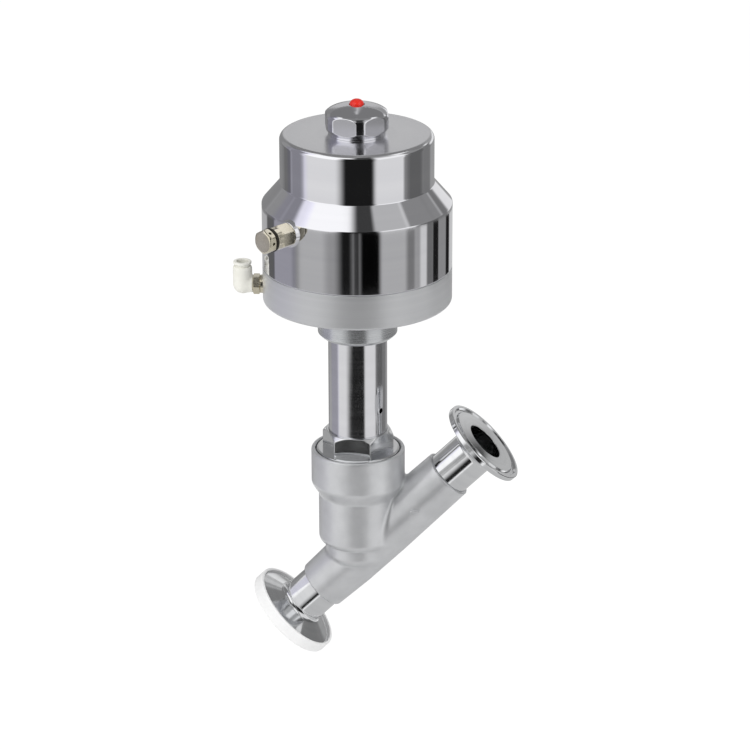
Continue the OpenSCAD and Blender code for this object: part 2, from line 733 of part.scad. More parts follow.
// Plug: a plate that carries the soft disc, and a hub that takes the stem's shoulder
module plug() {
    plug_r = plug_d / 2;
    hub_r = plug_hub_d / 2;
    color("silver") about_stem() translate([0, 0, plug_foot_z]) rotate_extrude()
        polygon([[stem_end_r, 0], [plug_r, 0], [plug_r, plug_t - edge], [plug_r - edge, plug_t],
            [hub_r + edge, plug_t], [hub_r, plug_t + edge], [hub_r, plug_t + plug_hub_h - edge],
            [hub_r - edge, plug_t + plug_hub_h], [stem_r, plug_t + plug_hub_h],
            [stem_r, plug_t], [stem_end_r, plug_t]]);
}

module seat_disc() {
    color("white") about_stem() ring(disc_d / 2, stem_end_r, seat_z, plug_foot_z);
}

module clamp_washer() {
    color("silver") about_stem() ring(clamp_washer_d / 2, stem_end_r, disc_nut_z, seat_z);
}

// Hexagon nut on one of the stem's threaded ends
module stem_nut(low_z) {
    translate([0, 0, low_z]) difference() {
        hexagon(stem_nut_af, stem_nut_h, 0, small_bevel);
        translate([0, 0, -over]) cylinder(r = stem_end_r, h = stem_nut_h + 2 * over);
    }
}

module disc_nut() {
    color("silver") about_stem() stem_nut(disc_nut_z - stem_nut_h);
}

module lower_guide() {
    color("ivory") about_stem()
        ring(stem_r + guide_wall, stem_r + run_gap, packing_floor_z - guide_h, packing_floor_z);
}

// Soft rings with a roof-shaped top that nest in each other
module packing_rings() {
    inner_r = stem_r + run_gap;
    outer_r = packing_r - run_gap;
    mid_r = (inner_r + outer_r) / 2;
    color("white") about_stem() for (i = [0 : packing_count - 1])
        translate([0, 0, packing_foot_z + i * packing_ring_h]) rotate_extrude()
            polygon([[inner_r, 0], [mid_r, packing_peak], [outer_r, 0], [outer_r, packing_ring_h - run_gap],
                [mid_r, packing_ring_h + packing_peak - run_gap], [inner_r, packing_ring_h - run_gap]]);
}

module packing_washers() {
    inner_r = stem_r + 3 * run_gap;
    outer_r = packing_r - run_gap;
    mid_r = (inner_r + outer_r) / 2;
    color("silver") about_stem() {
        translate([0, 0, packing_floor_z]) rotate_extrude()
            polygon([[inner_r, 0], [outer_r, 0], [outer_r, packing_washer_h - run_gap],
                [mid_r, packing_washer_h + packing_peak - run_gap], [inner_r, packing_washer_h - run_gap]]);
        translate([0, 0, packing_head_z]) rotate_extrude()
            polygon([[inner_r, 0], [mid_r, packing_peak], [outer_r, 0],
                [outer_r, packing_washer_h + packing_peak], [inner_r, packing_washer_h + packing_peak]]);
    }
}

module packing_spring() {
    low_z = packing_head_z + packing_washer_h + packing_peak;
    mean_d = packing_d - packing_wire - 2 * spring_gap;
    color("silver") about_stem() coil(mean_d, packing_wire, packing_turns, low_z, gland_foot_z, 14, 6);
}

// Gland screw that closes the packing chamber from inside the neck
module gland_screw() {
    color("goldenrod") about_stem() difference() {
        union() {
            translate([0, 0, gland_foot_z]) cylinder(r = packing_r - fit_gap / 2, h = gland_deep);
            translate([0, 0, bonnet_top_z]) hexagon(gland_af, gland_head_h, 0, small_bevel);
        }
        translate([0, 0, gland_foot_z - over]) cylinder(r = stem_r + 3 * run_gap, h = big);
    }
}

// Base ring with the air chamber, its hub and the spigot that the housing sits on
module actuator_base() {
    hub_r = base_hub_d / 2;
    wall_r = actuator_r - base_wall;
    spigot_r = bore_r - fit_gap;
    color("darkgray") about_stem() difference() {
        rotate_extrude() polygon(concat([[0, base_z]],
            arc(actuator_r - base_round, base_z + base_round, base_round, -90, 0, 6),
            [[actuator_r, ring_top_z - base_bevel], [actuator_r - base_bevel, ring_top_z]],
            [[spigot_r, ring_top_z], [spigot_r, spigot_top_z], [wall_r, spigot_top_z]],
            [[wall_r, base_z + base_floor], [hub_r, base_z + base_floor]],
            [[hub_r, hub_top_z - edge], [hub_r - edge, hub_top_z], [0, hub_top_z]]));
        base_inside();
    }
}

// Holes of the base: neck socket, stem bush and seal, air port and ring groove
module base_inside() {
    bush_r = stem_r + base_bush_wall;
    translate([0, 0, base_z - over]) cylinder(r = neck_r + fit_gap, h = neck_in_base + over);
    translate([0, 0, base_z]) cylinder(r = bush_r + fit_gap / 2, h = big);
    ring(bore_r + over, bore_r - o_ring_d, ring_top_z + spigot_h / 2 - o_ring_d / 2,
        ring_top_z + spigot_h / 2 + o_ring_d / 2);
    on_radius(port_angle, port_z, 0) translate([0, 0, actuator_r - base_wall - over])
        cylinder(r = port_r, h = base_wall + 2 * over);
    on_radius(port_angle, port_z, nut_face_r)
        cylinder(r = elbow_nut_af / 2 * hex_corner + spot_gap, h = over);
}

// Soft ring of square section with rounded flanks that fills a groove
module soft_ring(outer_r, inner_r, low_z, high_z) {
    mid_z = (low_z + high_z) / 2;
    round = (high_z - low_z) / 2 * soft_share;
    up = (high_z - low_z) / 2 - round;
    rotate_extrude() polygon(concat(
        arc(outer_r - round, mid_z + up, round, 0, 90, 3),
        arc(inner_r + round, mid_z + up, round, 90, 180, 3),
        arc(inner_r + round, mid_z - up, round, 180, 270, 3),
        arc(outer_r - round, mid_z - up, round, 270, 360, 3)));
}

module base_o_ring() {
    mid_z = ring_top_z + spigot_h / 2;
    color("black") about_stem()
        soft_ring(bore_r - run_gap, bore_r - o_ring_d + run_gap, mid_z - o_ring_d / 2, mid_z + o_ring_d / 2);
}

module base_bush() {
    color("goldenrod") about_stem()
        ring(stem_r + base_bush_wall, stem_r + run_gap, neck_top_z, neck_top_z + base_bush_h);
}

module stem_o_ring() {
    low_z = neck_top_z + base_bush_h;
    color("black") about_stem()
        soft_ring(stem_r + base_bush_wall, stem_r + run_gap, low_z, low_z + base_bush_wall - run_gap);
}

module bush_retainer() {
    low_z = neck_top_z + base_bush_h + base_bush_wall;
    color("silver") about_stem() ring(stem_r + base_bush_wall, stem_r + 4 * run_gap, low_z, hub_top_z);
}

// Drawn housing: wide cylinder, cone, upper cylinder and deck, with one even wall
module housing() {
    top_bore_r = housing_top_r - housing_wall;
    slope = atan2(actuator_r - housing_top_r, housing_cone_h);
    drop = housing_wall * tan(slope / 2);
    inner_round = max(housing_round - housing_wall, fit_gap);
    color("lightsteelblue") about_stem() difference() {
        union() {
            rotate_extrude() polygon(concat(
                [[bore_r, ring_top_z], [actuator_r - small_bevel, ring_top_z]],
                [[actuator_r, ring_top_z + small_bevel]],
                arc(actuator_r - shoulder_round, cone_foot_z - shoulder_round * tan(slope / 2),
                    shoulder_round, 0, slope, 3),
                arc(housing_top_r + waist_round, cone_top_z + waist_round * tan(slope / 2),
                    waist_round, 180 + slope, 180, 3),
                arc(housing_top_r - housing_round, deck_z - housing_round, housing_round, 0, 90, 6),
                [[0, deck_z], [0, ceiling_z]],
                arc(top_bore_r - inner_round, ceiling_z - inner_round, inner_round, 90, 0, 3),
                [[top_bore_r, cone_top_z - drop], [bore_r, cone_foot_z - drop]]));
            on_radius(silencer_angle, silencer_z, bore_r + housing_wall / 2)
                cylinder(d = boss_d, h = housing_wall / 2 + boss_up);
        }
        translate([0, 0, ceiling_z - over])
            cylinder(d = cap_shank_d + 2 * fit_gap, h = housing_wall + 2 * over);
        on_radius(silencer_angle, silencer_z, bore_r - 2 * over)
            cylinder(d = silencer_thread_d + fit_gap, h = housing_wall + boss_up + 3 * over);
    }
}

// Piston with a spring recess on top, a hub, and grooves for its seal and guide ring
module piston() {
    hub_r = piston_hub_d / 2;
    recess_r = piston_r - piston_rim;
    top_z = piston_z + piston_h;
    color("lightgray") about_stem() difference() {
        rotate_extrude() polygon([
            [stem_end_r, piston_z], [piston_r - edge, piston_z], [piston_r, piston_z + edge],
            [piston_r, top_z - edge], [piston_r - edge, top_z], [recess_r, top_z], [recess_r, spring_foot_z],
            [hub_r, spring_foot_z], [hub_r, piston_hub_top_z - edge], [hub_r - edge, piston_hub_top_z],
            [stem_end_r, piston_hub_top_z]]);
        ring(piston_r + over, bore_r - piston_seal_w, seal_low_z, seal_high_z);
        ring(piston_r + over, bore_r - guide_ring_w, guide_low_z, guide_high_z);
    }
}

module piston_seal() {
    color("black") about_stem()
        soft_ring(bore_r - run_gap, bore_r - piston_seal_w + run_gap, seal_low_z, seal_high_z);
}

module piston_guide_ring() {
    color("ivory") about_stem()
        ring(bore_r - run_gap, bore_r - guide_ring_w, guide_low_z, guide_high_z);
}

module piston_washer() {
    color("silver") about_stem() ring(piston_washer_d / 2, stem_end_r, piston_hub_top_z, piston_nut_z);
}

module piston_nut() {
    color("silver") about_stem() stem_nut(piston_nut_z);
}

module outer_spring() {
    color("slategray") about_stem()
        coil(outer_spring_d, outer_wire, outer_turns, spring_foot_z, ceiling_z, 20, 8);
}

module inner_spring() {
    color("slategray") about_stem()
        coil(inner_spring_d, inner_wire, inner_turns, spring_foot_z, ceiling_z, 16, 8);
}

// Domed round cap with six milled flats that end in arcs; its shank closes the deck
module top_cap() {
    cap_r = cap_d / 2;
    hole_r = indicator_d / 2 + cap_gap;
    color("gainsboro") about_stem() translate([0, 0, deck_z]) difference() {
        union() {
            intersection() {
                rotate([0, 0, cap_turn]) cylinder(r = cap_af / 2 * hex_corner, h = cap_h, $fn = 6);
                rotate_extrude() polygon(concat(
                    [[0, 0], [cap_foot_d / 2, 0], [cap_foot_d / 2, cap_foot_h], [cap_r, cap_wall_low]],
                    dome(cap_r, hole_r, cap_wall_high, cap_h, 10), [[0, cap_h]]));
            }
            translate([0, 0, -cap_shank_h]) cylinder(d = cap_shank_d, h = cap_shank_h + over);
        }
        translate([0, 0, -cap_shank_h - over]) cylinder(r = hole_r, h = cap_h + cap_shank_h + 2 * over);
        cap_groove();
    }
}

// Groove in the cap's bore for the ring that wipes the indicator
module cap_groove() {
    groove_r = indicator_d / 2 + o_ring_d;
    ring(groove_r, indicator_d / 2 - over, cap_ring_up, cap_ring_up + o_ring_d);
}

module cap_o_ring() {
    color("black") about_stem() translate([0, 0, deck_z])
        soft_ring(indicator_d / 2 + o_ring_d - run_gap, indicator_d / 2 + run_gap,
            cap_ring_up, cap_ring_up + o_ring_d);
}

// Red indicator rod with a domed head, pushed on the stem's pin
module indicator() {
    rod_r = indicator_d / 2;
    pin_r = indicator_pin_d / 2;
    color("red") about_stem() rotate_extrude() polygon(concat(
        [[pin_r, stem_top_z], [rod_r, stem_top_z], [rod_r, indicator_top_z - indicator_up]],
        [for (i = [1 : 8])
            [rod_r * cos(90 * i / 8), indicator_top_z - indicator_up + indicator_up * sin(90 * i / 8)]],
        [[0, stem_top_z + indicator_pin_h], [pin_r, stem_top_z + indicator_pin_h]]));
}

// Nickel-plated nut of the elbow, with its thread in the base and its swivel spigot
module elbow_nut() {
    thread_h = base_wall - spot_deep;
    spigot_len = elbow_reach - swivel_short;
    color("khaki") about_stem() on_radius(port_angle, port_z, nut_face_r) difference() {
        union() {
            translate([0, 0, -thread_h]) cylinder(r = port_r - fit_gap / 2, h = thread_h + over / 2);
            cylinder(r = elbow_collar_d / 2, h = elbow_collar_h + over / 2);
            translate([0, 0, elbow_collar_h])
                hexagon(elbow_nut_af, elbow_nut_h - elbow_collar_h, 30, small_bevel);
            translate([0, 0, elbow_nut_h - over / 2])
                cylinder(r = swivel_d / 2 - run_gap, h = spigot_len + over / 2);
        }
        translate([0, 0, -thread_h - over]) cylinder(r = swivel_d / 2 - swivel_wall, h = big);
    }
}

// Plastic elbow: a level leg on the nut's spigot and an upright leg for the air tube
module elbow_body() {
    body_r = elbow_d / 2;
    color("ivory") about_stem() difference() {
        union() {
            on_radius(port_angle, port_z, nut_face_r + elbow_nut_h + fit_gap)
                cylinder(d = elbow_leg_d, h = elbow_reach - fit_gap);
            on_radius(port_angle, port_z, elbow_axis_r) sphere(r = body_r);
            elbow_upright() rotate_extrude() polygon(concat([[0, 0], [body_r, 0]],
                arc(body_r - elbow_round, elbow_up - elbow_round, elbow_round, 0, 90, 4), [[0, elbow_up]]));
        }
        on_radius(port_angle, port_z, nut_face_r + elbow_nut_h - over)
            cylinder(r = swivel_d / 2, h = elbow_reach + over);
        elbow_upright() {
            cylinder(r = tube_hole_r - tube_step, h = elbow_up);
            translate([0, 0, tube_stop_up]) cylinder(r = tube_hole_r, h = elbow_up);
            translate([0, 0, tube_seal_up]) cylinder(r = collet_r + run_gap, h = elbow_up);
        }
    }
}

// Stands what follows on the elbow's upright axis, at the height of the port's axis
module elbow_upright() {
    rotate([0, 0, port_angle]) translate([elbow_axis_r, 0, port_z]) children();
}

// Soft ring at the end of the swivel spigot
module elbow_o_ring() {
    low = elbow_reach - swivel_short + fit_gap;
    color("black") about_stem() on_radius(port_angle, port_z, nut_face_r + elbow_nut_h)
        ring(swivel_d / 2 - run_gap, swivel_d / 2 - swivel_wall + run_gap, low, low + swivel_ring_h);
}

module tube_seal() {
    color("black") about_stem() elbow_upright()
        soft_ring(collet_r, tube_hole_r, tube_seal_up, tube_seal_up + tube_seal_h);
}

// Release collet: a thin sleeve with a flange that a fingertip presses
module release_collet() {
    flange_r = collet_r + collet_flange_w;
    foot = tube_seal_up + tube_seal_h + collet_press + collet_gap;
    flange_low = elbow_up + collet_press + collet_gap;
    flange_high = flange_low + collet_flange_t;
    edge = collet_flange_t * 0.3;
    color("ivory") about_stem() elbow_upright() rotate_extrude()
        polygon([[tube_hole_r, foot], [collet_r, foot], [collet_r, flange_low], [flange_r, flange_low],
            [flange_r, flange_high - edge], [flange_r - edge, flange_high],
            [tube_hole_r + edge, flange_high], [tube_hole_r, flange_high - edge]]);
}

// Silencer base: thread in the housing's boss, hexagon and barrel
module silencer_base() {
    thread_h = housing_wall + boss_up - thread_short;
    color("khaki") about_stem() on_radius(silencer_angle, silencer_z, silencer_face_r) difference() {
        union() {
            translate([0, 0, -thread_h]) cylinder(d = silencer_thread_d, h = thread_h);
            hexagon(silencer_af, silencer_hex_h, 0, small_bevel);
            translate([0, 0, silencer_hex_h]) cylinder(d = silencer_d, h = silencer_barrel_h);
        }
        translate([0, 0, -thread_h - over]) cylinder(r = silencer_bore_r, h = big);
        translate([0, 0, silencer_floor]) cylinder(r = silencer_chamber_r, h = big);
    }
}

module silencer_o_ring() {
    color("black") about_stem() on_radius(silencer_angle, silencer_z, silencer_face_r)
        soft_ring(silencer_d / 2 + silencer_ring_out, silencer_chamber_r + fit_gap,
            silencer_ring_z, silencer_head_z);
}

// Screwed silencer head with vent holes round its rim
module silencer_head() {
    shank_z = silencer_ring_z - silencer_shank_h;
    color("khaki") about_stem() on_radius(silencer_angle, silencer_z, silencer_face_r) difference() {
        union() {
            translate([0, 0, shank_z])
                cylinder(r = silencer_chamber_r - fit_gap, h = silencer_head_z + over - shank_z);
            translate([0, 0, silencer_head_z]) hexagon(silencer_af, silencer_head_h, 0, small_bevel);
        }
        translate([0, 0, shank_z - over])
            cylinder(r = silencer_bore_r,
                h = silencer_head_z + silencer_head_h - silencer_end_wall - shank_z + over);
        for (i = [0 : vent_count - 1])
            rotate([0, 0, 30 + 360 * i / vent_count]) translate([0, 0, silencer_head_z + vent_up])
                rotate([0, 90, 0]) translate([0, 0, silencer_bore_r - 2 * fit_gap])
                    cylinder(d = vent_d, h = silencer_d);
    }
}

module silencer_filter() {
    high = silencer_ring_z - silencer_shank_h;
    color("peru") about_stem() on_radius(silencer_angle, silencer_z, silencer_face_r)
        translate([0, 0, silencer_floor])
            cylinder(r = silencer_chamber_r - fit_gap, h = high - silencer_floor);
}

valve_body();
outlet_ferrule();
inlet_ferrule();
inlet_cover();
body_gasket();
bonnet();
neck_tube();
clamp_collar();
stem();
plug();
seat_disc();
clamp_washer();
disc_nut();
lower_guide();
packing_rings();
packing_washers();
packing_spring();
gland_screw();
actuator_base();
base_o_ring();
base_bush();
stem_o_ring();
bush_retainer();
housing();
piston();
piston_seal();
piston_guide_ring();
piston_washer();
piston_nut();
outer_spring();
inner_spring();
top_cap();
cap_o_ring();
indicator();
elbow_nut();
elbow_body();
elbow_o_ring();
tube_seal();
release_collet();
silencer_base();
silencer_o_ring();
silencer_head();
silencer_filter();
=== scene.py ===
import json
import math

import bpy
import numpy as np
from mathutils import Matrix, Vector


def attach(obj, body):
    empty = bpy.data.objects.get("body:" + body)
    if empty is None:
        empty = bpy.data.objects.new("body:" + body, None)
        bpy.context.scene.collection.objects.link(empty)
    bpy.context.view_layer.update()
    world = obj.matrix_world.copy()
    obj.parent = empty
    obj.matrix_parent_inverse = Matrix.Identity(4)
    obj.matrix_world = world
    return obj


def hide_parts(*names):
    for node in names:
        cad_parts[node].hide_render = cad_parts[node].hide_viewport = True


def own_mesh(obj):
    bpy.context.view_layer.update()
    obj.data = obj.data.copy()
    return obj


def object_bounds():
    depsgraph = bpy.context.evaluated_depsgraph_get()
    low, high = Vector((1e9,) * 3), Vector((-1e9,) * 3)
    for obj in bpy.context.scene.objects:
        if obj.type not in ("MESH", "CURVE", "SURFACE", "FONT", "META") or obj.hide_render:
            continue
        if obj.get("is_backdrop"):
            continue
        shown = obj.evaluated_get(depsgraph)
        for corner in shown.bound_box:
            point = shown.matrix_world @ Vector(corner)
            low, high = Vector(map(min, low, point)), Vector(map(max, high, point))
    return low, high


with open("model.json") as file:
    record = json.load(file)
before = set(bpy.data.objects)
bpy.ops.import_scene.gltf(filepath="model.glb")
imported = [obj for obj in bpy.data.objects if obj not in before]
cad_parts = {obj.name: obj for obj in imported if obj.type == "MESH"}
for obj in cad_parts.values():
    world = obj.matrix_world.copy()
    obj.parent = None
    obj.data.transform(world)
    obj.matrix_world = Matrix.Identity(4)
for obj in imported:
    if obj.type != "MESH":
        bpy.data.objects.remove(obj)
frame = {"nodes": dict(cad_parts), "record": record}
cadLow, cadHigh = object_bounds()
print("frame loaded:", len(frame["nodes"]), "nodes")

# Lengths are millimetres from the point where the stem's axis crosses the pipe's, until a mesh is made
pipeLean = math.radians(45)
outletReach = 98.0
inletReach = 52.5
pipeWay = np.array([math.sin(pipeLean), 0.0, math.cos(pipeLean)])
stemWay = np.array([0.0, 0.0, 1.0])
partShift = outletReach * pipeWay
stemX = -partShift[0] / 1000  # Where the stem's axis stands in the frame, in metres
flatStep = 0.3  # Rows of a hexagonal piece are at most this far apart


def radialWay(degrees):
    turn = math.radians(degrees)
    return np.array([math.cos(turn), math.sin(turn), 0.0])


def placed(name, data):
    made = bpy.data.objects.new(name, data)
    bpy.context.collection.objects.link(made)
    return made


def makePiece(name, patches, body, slotName, material, *nodes):
    # Joins patches of points, normals and quads into one smooth mesh that rides a body.
    # Points that round to the same micron become one, so seams and poles close; their normals are averaged.
    points = np.concatenate([patch[0] for patch in patches])
    normals = np.concatenate([patch[1] for patch in patches])
    starts = np.cumsum([0] + [len(patch[0]) for patch in patches[:-1]])
    quads = np.concatenate([patch[2] + start for patch, start in zip(patches, starts)])
    keys = np.round(points * 1000).astype(np.int64)
    first, inverse = np.unique(keys, axis=0, return_index=True, return_inverse=True)[1:]
    inverse = inverse.ravel()
    summed = np.zeros((len(first), 3))
    np.add.at(summed, inverse, normals)
    summed /= np.maximum(np.linalg.norm(summed, axis=1, keepdims=True), 1e-9)
    quads = inverse[quads]
    keep = quads != np.roll(quads, -1, axis=1)
    whole = keep.sum(1) > 2
    quads, keep = quads[whole], keep[whole]
    corners, sides = quads[keep], keep.sum(1)
    mesh = bpy.data.meshes.new(name)
    mesh.vertices.add(len(first))
    mesh.vertices.foreach_set("co", ((points[first] - partShift) / 1000).astype(np.float32).ravel())
    mesh.loops.add(len(corners))
    mesh.loops.foreach_set("vertex_index", corners.astype(np.int32))
    mesh.polygons.add(len(sides))
    mesh.polygons.foreach_set("loop_start", np.concatenate([[0], np.cumsum(sides)[:-1]]).astype(np.int32))
    mesh.polygons.foreach_set("use_smooth", np.ones(len(sides), bool))
    mesh.update(calc_edges=True)
    mesh.validate()
    mesh.normals_split_custom_set_from_vertices(summed.tolist())
    piece = placed(name, mesh)
    mesh.materials.append(material)
    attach(piece, body)
    if nodes:
        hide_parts(*nodes)
    print("piece", name, len(mesh.polygons), "faces")
    return piece


def softMax(a, b, k):
    # The greater of two values, with the crease between them rounded over a width k
    h = np.maximum(k - np.abs(a - b), 0) / k
    return np.maximum(a, b) + h * h * k / 4


def softMin(a, b, k):
    # The lesser of two values, rounded in the same way
    return -softMax(-a, -b, k)


def roundCorners(corners, closed, longest):
    # Corners are (radius, height, round). Each becomes an arc that touches both its sides: it starts
    # round * tan(turn / 2) before the corner, at most a set share of a side. Normals point to the right of
    # the way along the profile. Sides longer than the given length are divided.
    sideShare, degreesPerStep = 0.48, 12
    rows = np.array([(c[0], c[1], c[2] if len(c) > 2 else 0.0) for c in corners], float)
    loop = np.vstack([rows[:, :2], rows[:1, :2]])
    if np.sum(loop[:-1, 0] * loop[1:, 1] - loop[1:, 0] * loop[:-1, 1]) < 0:
        rows = rows[::-1]
    count = len(rows)
    points, normals = [], []
    for i, (x, y, radius) in enumerate(rows):
        here = np.array([x, y])
        if not closed and i in (0, count - 1):
            way = rows[1, :2] - here if i == 0 else here - rows[i - 1, :2]
            way = way / np.linalg.norm(way)
            points.append(here)
            normals.append((way[1], -way[0]))
            continue
        before, after = here - rows[i - 1, :2], rows[(i + 1) % count, :2] - here
        sideBefore, sideAfter = np.linalg.norm(before), np.linalg.norm(after)
        wayIn, wayOut = before / sideBefore, after / sideAfter
        turn = math.atan2(wayIn[0] * wayOut[1] - wayIn[1] * wayOut[0], float(wayIn @ wayOut))
        half = max(math.tan(abs(turn) / 2), 1e-6)
        reach = max(min(radius * half, sideShare * sideBefore, sideShare * sideAfter), 1e-4)
        side = 1.0 if turn > 0 else -1.0
        start = here - wayIn * reach
        centre = start + side * reach / half * np.array([-wayIn[1], wayIn[0]])
        angle = math.atan2(start[1] - centre[1], start[0] - centre[0])
        steps = max(1, int(math.ceil(abs(math.degrees(turn)) / degreesPerStep)))
        for a in angle + turn * np.arange(steps + 1) / steps:
            out = np.array([math.cos(a), math.sin(a)])
            points.append(centre + reach / half * out)
            normals.append(side * out)
    points, normals = np.array(points), np.array(normals)
    if closed:
        points, normals = np.vstack([points, points[:1]]), np.vstack([normals, normals[:1]])
    if longest:
        parts = np.maximum(1, np.ceil(np.linalg.norm(np.diff(points, axis=0), axis=1) / longest)).astype(int)
        places = np.concatenate([k + np.arange(n) / n for k, n in enumerate(parts)] + [[len(parts)]])
        whole = np.arange(len(points))
        points = np.stack([np.interp(places, whole, points[:, k]) for k in (0, 1)], axis=1)
        normals = np.stack([np.interp(places, whole, normals[:, k]) for k in (0, 1)], axis=1)
        normals /= np.linalg.norm(normals, axis=1, keepdims=True)
    return points, normals


def sideways(way):
    # Two directions at right angles to an axis and to each other
    away = np.array([0.0, -1.0, 0.0]) if abs(way[1]) < 0.9 else np.array([1.0, 0.0, 0.0])
    u = away - way * (away @ way)
    u /= np.linalg.norm(u)
    return u, np.cross(way, u)


def gridQuads(rows, columns):
    index = np.arange(rows * columns).reshape(rows, columns)
    return np.stack([index[:-1, :-1], index[:-1, 1:], index[1:, 1:], index[1:, :-1]], axis=-1).reshape(-1, 4)


def turned(corners, at=(0, 0, 0), way=stemWay, closed=True, steps=192, flats=None, longest=None, soft=0.25,
           fine=None):
    # A profile of radius and height turned about an axis. With flats, a hexagonal bar cuts it: the radius is
    # the soft minimum of the profile's and of half the width / cos(angle from the flat's middle), and the
    # normal leans with the share that each of the two has there. Fine adds more angles near one place.
    profile, lean = roundCorners(corners, closed, longest or (flatStep if flats else None))
    u, v = sideways(way)
    angles = np.linspace(0, 2 * np.pi, steps + 1)
    if fine:
        middle, reach, count = fine
        angles = np.union1d(angles, middle + np.linspace(-reach, reach, count))
        steps = len(angles) - 1
    out = u * np.cos(angles)[:, None] + v * np.sin(angles)[:, None]
    around = v * np.cos(angles)[:, None] - u * np.sin(angles)[:, None]
    radius = np.repeat(profile[:, :1], steps + 1, axis=1)
    slip, share = np.zeros_like(radius), np.ones_like(radius)
    if flats:
        across, corner = flats
        fromFlat = np.mod(angles - corner, np.pi / 3) - np.pi / 6
        bar = across / 2 / np.cos(fromFlat)
        gap = radius - bar
        h = np.maximum(soft - np.abs(gap), 0) / soft
        share = np.where(gap < 0, 1 - h / 2, h / 2)
        slip = (1 - share) * np.tan(fromFlat)
        radius = softMin(radius, bar + 0 * radius, soft)
    points = np.asarray(at, float) + radius[..., None] * out + profile[:, 1][:, None, None] * way
    upright = (share * lean[:, 1:])[..., None] * way
    normals = lean[:, :1, None] * (out - slip[..., None] * around) + upright
    return points.reshape(-1, 3), normals.reshape(-1, 3), gridQuads(*radius.shape)


def pierced(radius, low, high, hole, steps=192):
    # A cylinder's wall about the stem with one round hole. The wall is a grid of angles and heights whose
    # window round the hole is left out. Rings that blend from the window's square to the hole's circle fill
    # it, and a straight wall runs in to the given depth.
    margin, cells = 1.4, 8
    half, coarse = hole["radius"] + margin, steps // 2 - cells
    angles = math.radians(hole["angle"]) + np.concatenate([
        np.linspace(-math.pi, -half / radius, coarse)[:-1],
        np.linspace(-half / radius, half / radius, 2 * cells + 1),
        np.linspace(half / radius, math.pi, coarse)[1:]])
    window = np.linspace(hole["height"] - half, hole["height"] + half, 2 * cells + 1)
    heights = np.concatenate([[low], window, [high]])
    first = coarse - 1

    def onWall(angle, height, reach):
        out = np.stack([np.cos(angle), np.sin(angle), 0 * angle], axis=-1)
        return reach * out + height[..., None] * stemWay, out

    aa, hh = np.meshgrid(angles, heights)
    points, normals = onWall(aa, hh, radius)
    quads = gridQuads(*aa.shape).reshape(len(heights) - 1, len(angles) - 1, 4)
    kept = np.ones(quads.shape[:2], bool)
    kept[1:1 + 2 * cells, first:first + 2 * cells] = False
    patches = [(points.reshape(-1, 3), normals.reshape(-1, 3), quads[kept])]
    line = np.linspace(-half, half, 2 * cells + 1)
    edge = 0 * line[:-1] + half
    squareX = np.concatenate([line[:-1], edge, line[:0:-1], -edge, line[:1]])
    squareZ = np.concatenate([-edge, line[:-1], edge, line[:0:-1], -edge[:1]])
    bearing = np.arctan2(squareZ, squareX)
    share = np.array([0, 0.25, 0.5, 0.75, 0.95, 1])[:, None]
    flatX = squareX * (1 - share) + hole["radius"] * np.cos(bearing) * share
    flatZ = squareZ * (1 - share) + hole["radius"] * np.sin(bearing) * share
    points, normals = onWall(math.radians(hole["angle"]) + flatX / radius, hole["height"] + flatZ, radius)
    patches.append((points.reshape(-1, 3), normals.reshape(-1, 3), gridQuads(*flatX.shape)))
    out = radialWay(hole["angle"])
    side = np.cross(stemWay, out)
    rim = points[-1]
    foot = rim - (rim @ out - hole["floor"])[:, None] * out
    inward = -(np.cos(bearing)[:, None] * side + np.sin(bearing)[:, None] * stemWay)
    bore = (np.concatenate([rim, foot]), np.concatenate([inward, inward]), gridQuads(2, len(rim)))
    return patches, bore


def spotFaced(patch, hole):
    # Points of a patch inside a round hole's width are moved back onto its flat floor
    points, normals, quads = patch
    out = radialWay(hole["angle"])
    side = np.cross(stemWay, out)
    deep = points @ out
    away = np.hypot(points @ side, points[:, 2] - hole["height"])
    hit = (away < hole["radius"]) & (deep > hole["floor"])
    points = points - np.where(hit, deep - hole["floor"], 0)[:, None] * out
    return points, np.where(hit[:, None], out, normals), quads


def fieldSlope(field, points, reach=0.05):
    # The difference of the field over twice the reach, along each axis
    slope = np.empty_like(points)
    for axis in range(3):
        step = np.zeros(3)
        step[axis] = reach
        slope[:, axis] = (field(*(points + step).T) - field(*(points - step).T)) / (2 * reach)
    return slope


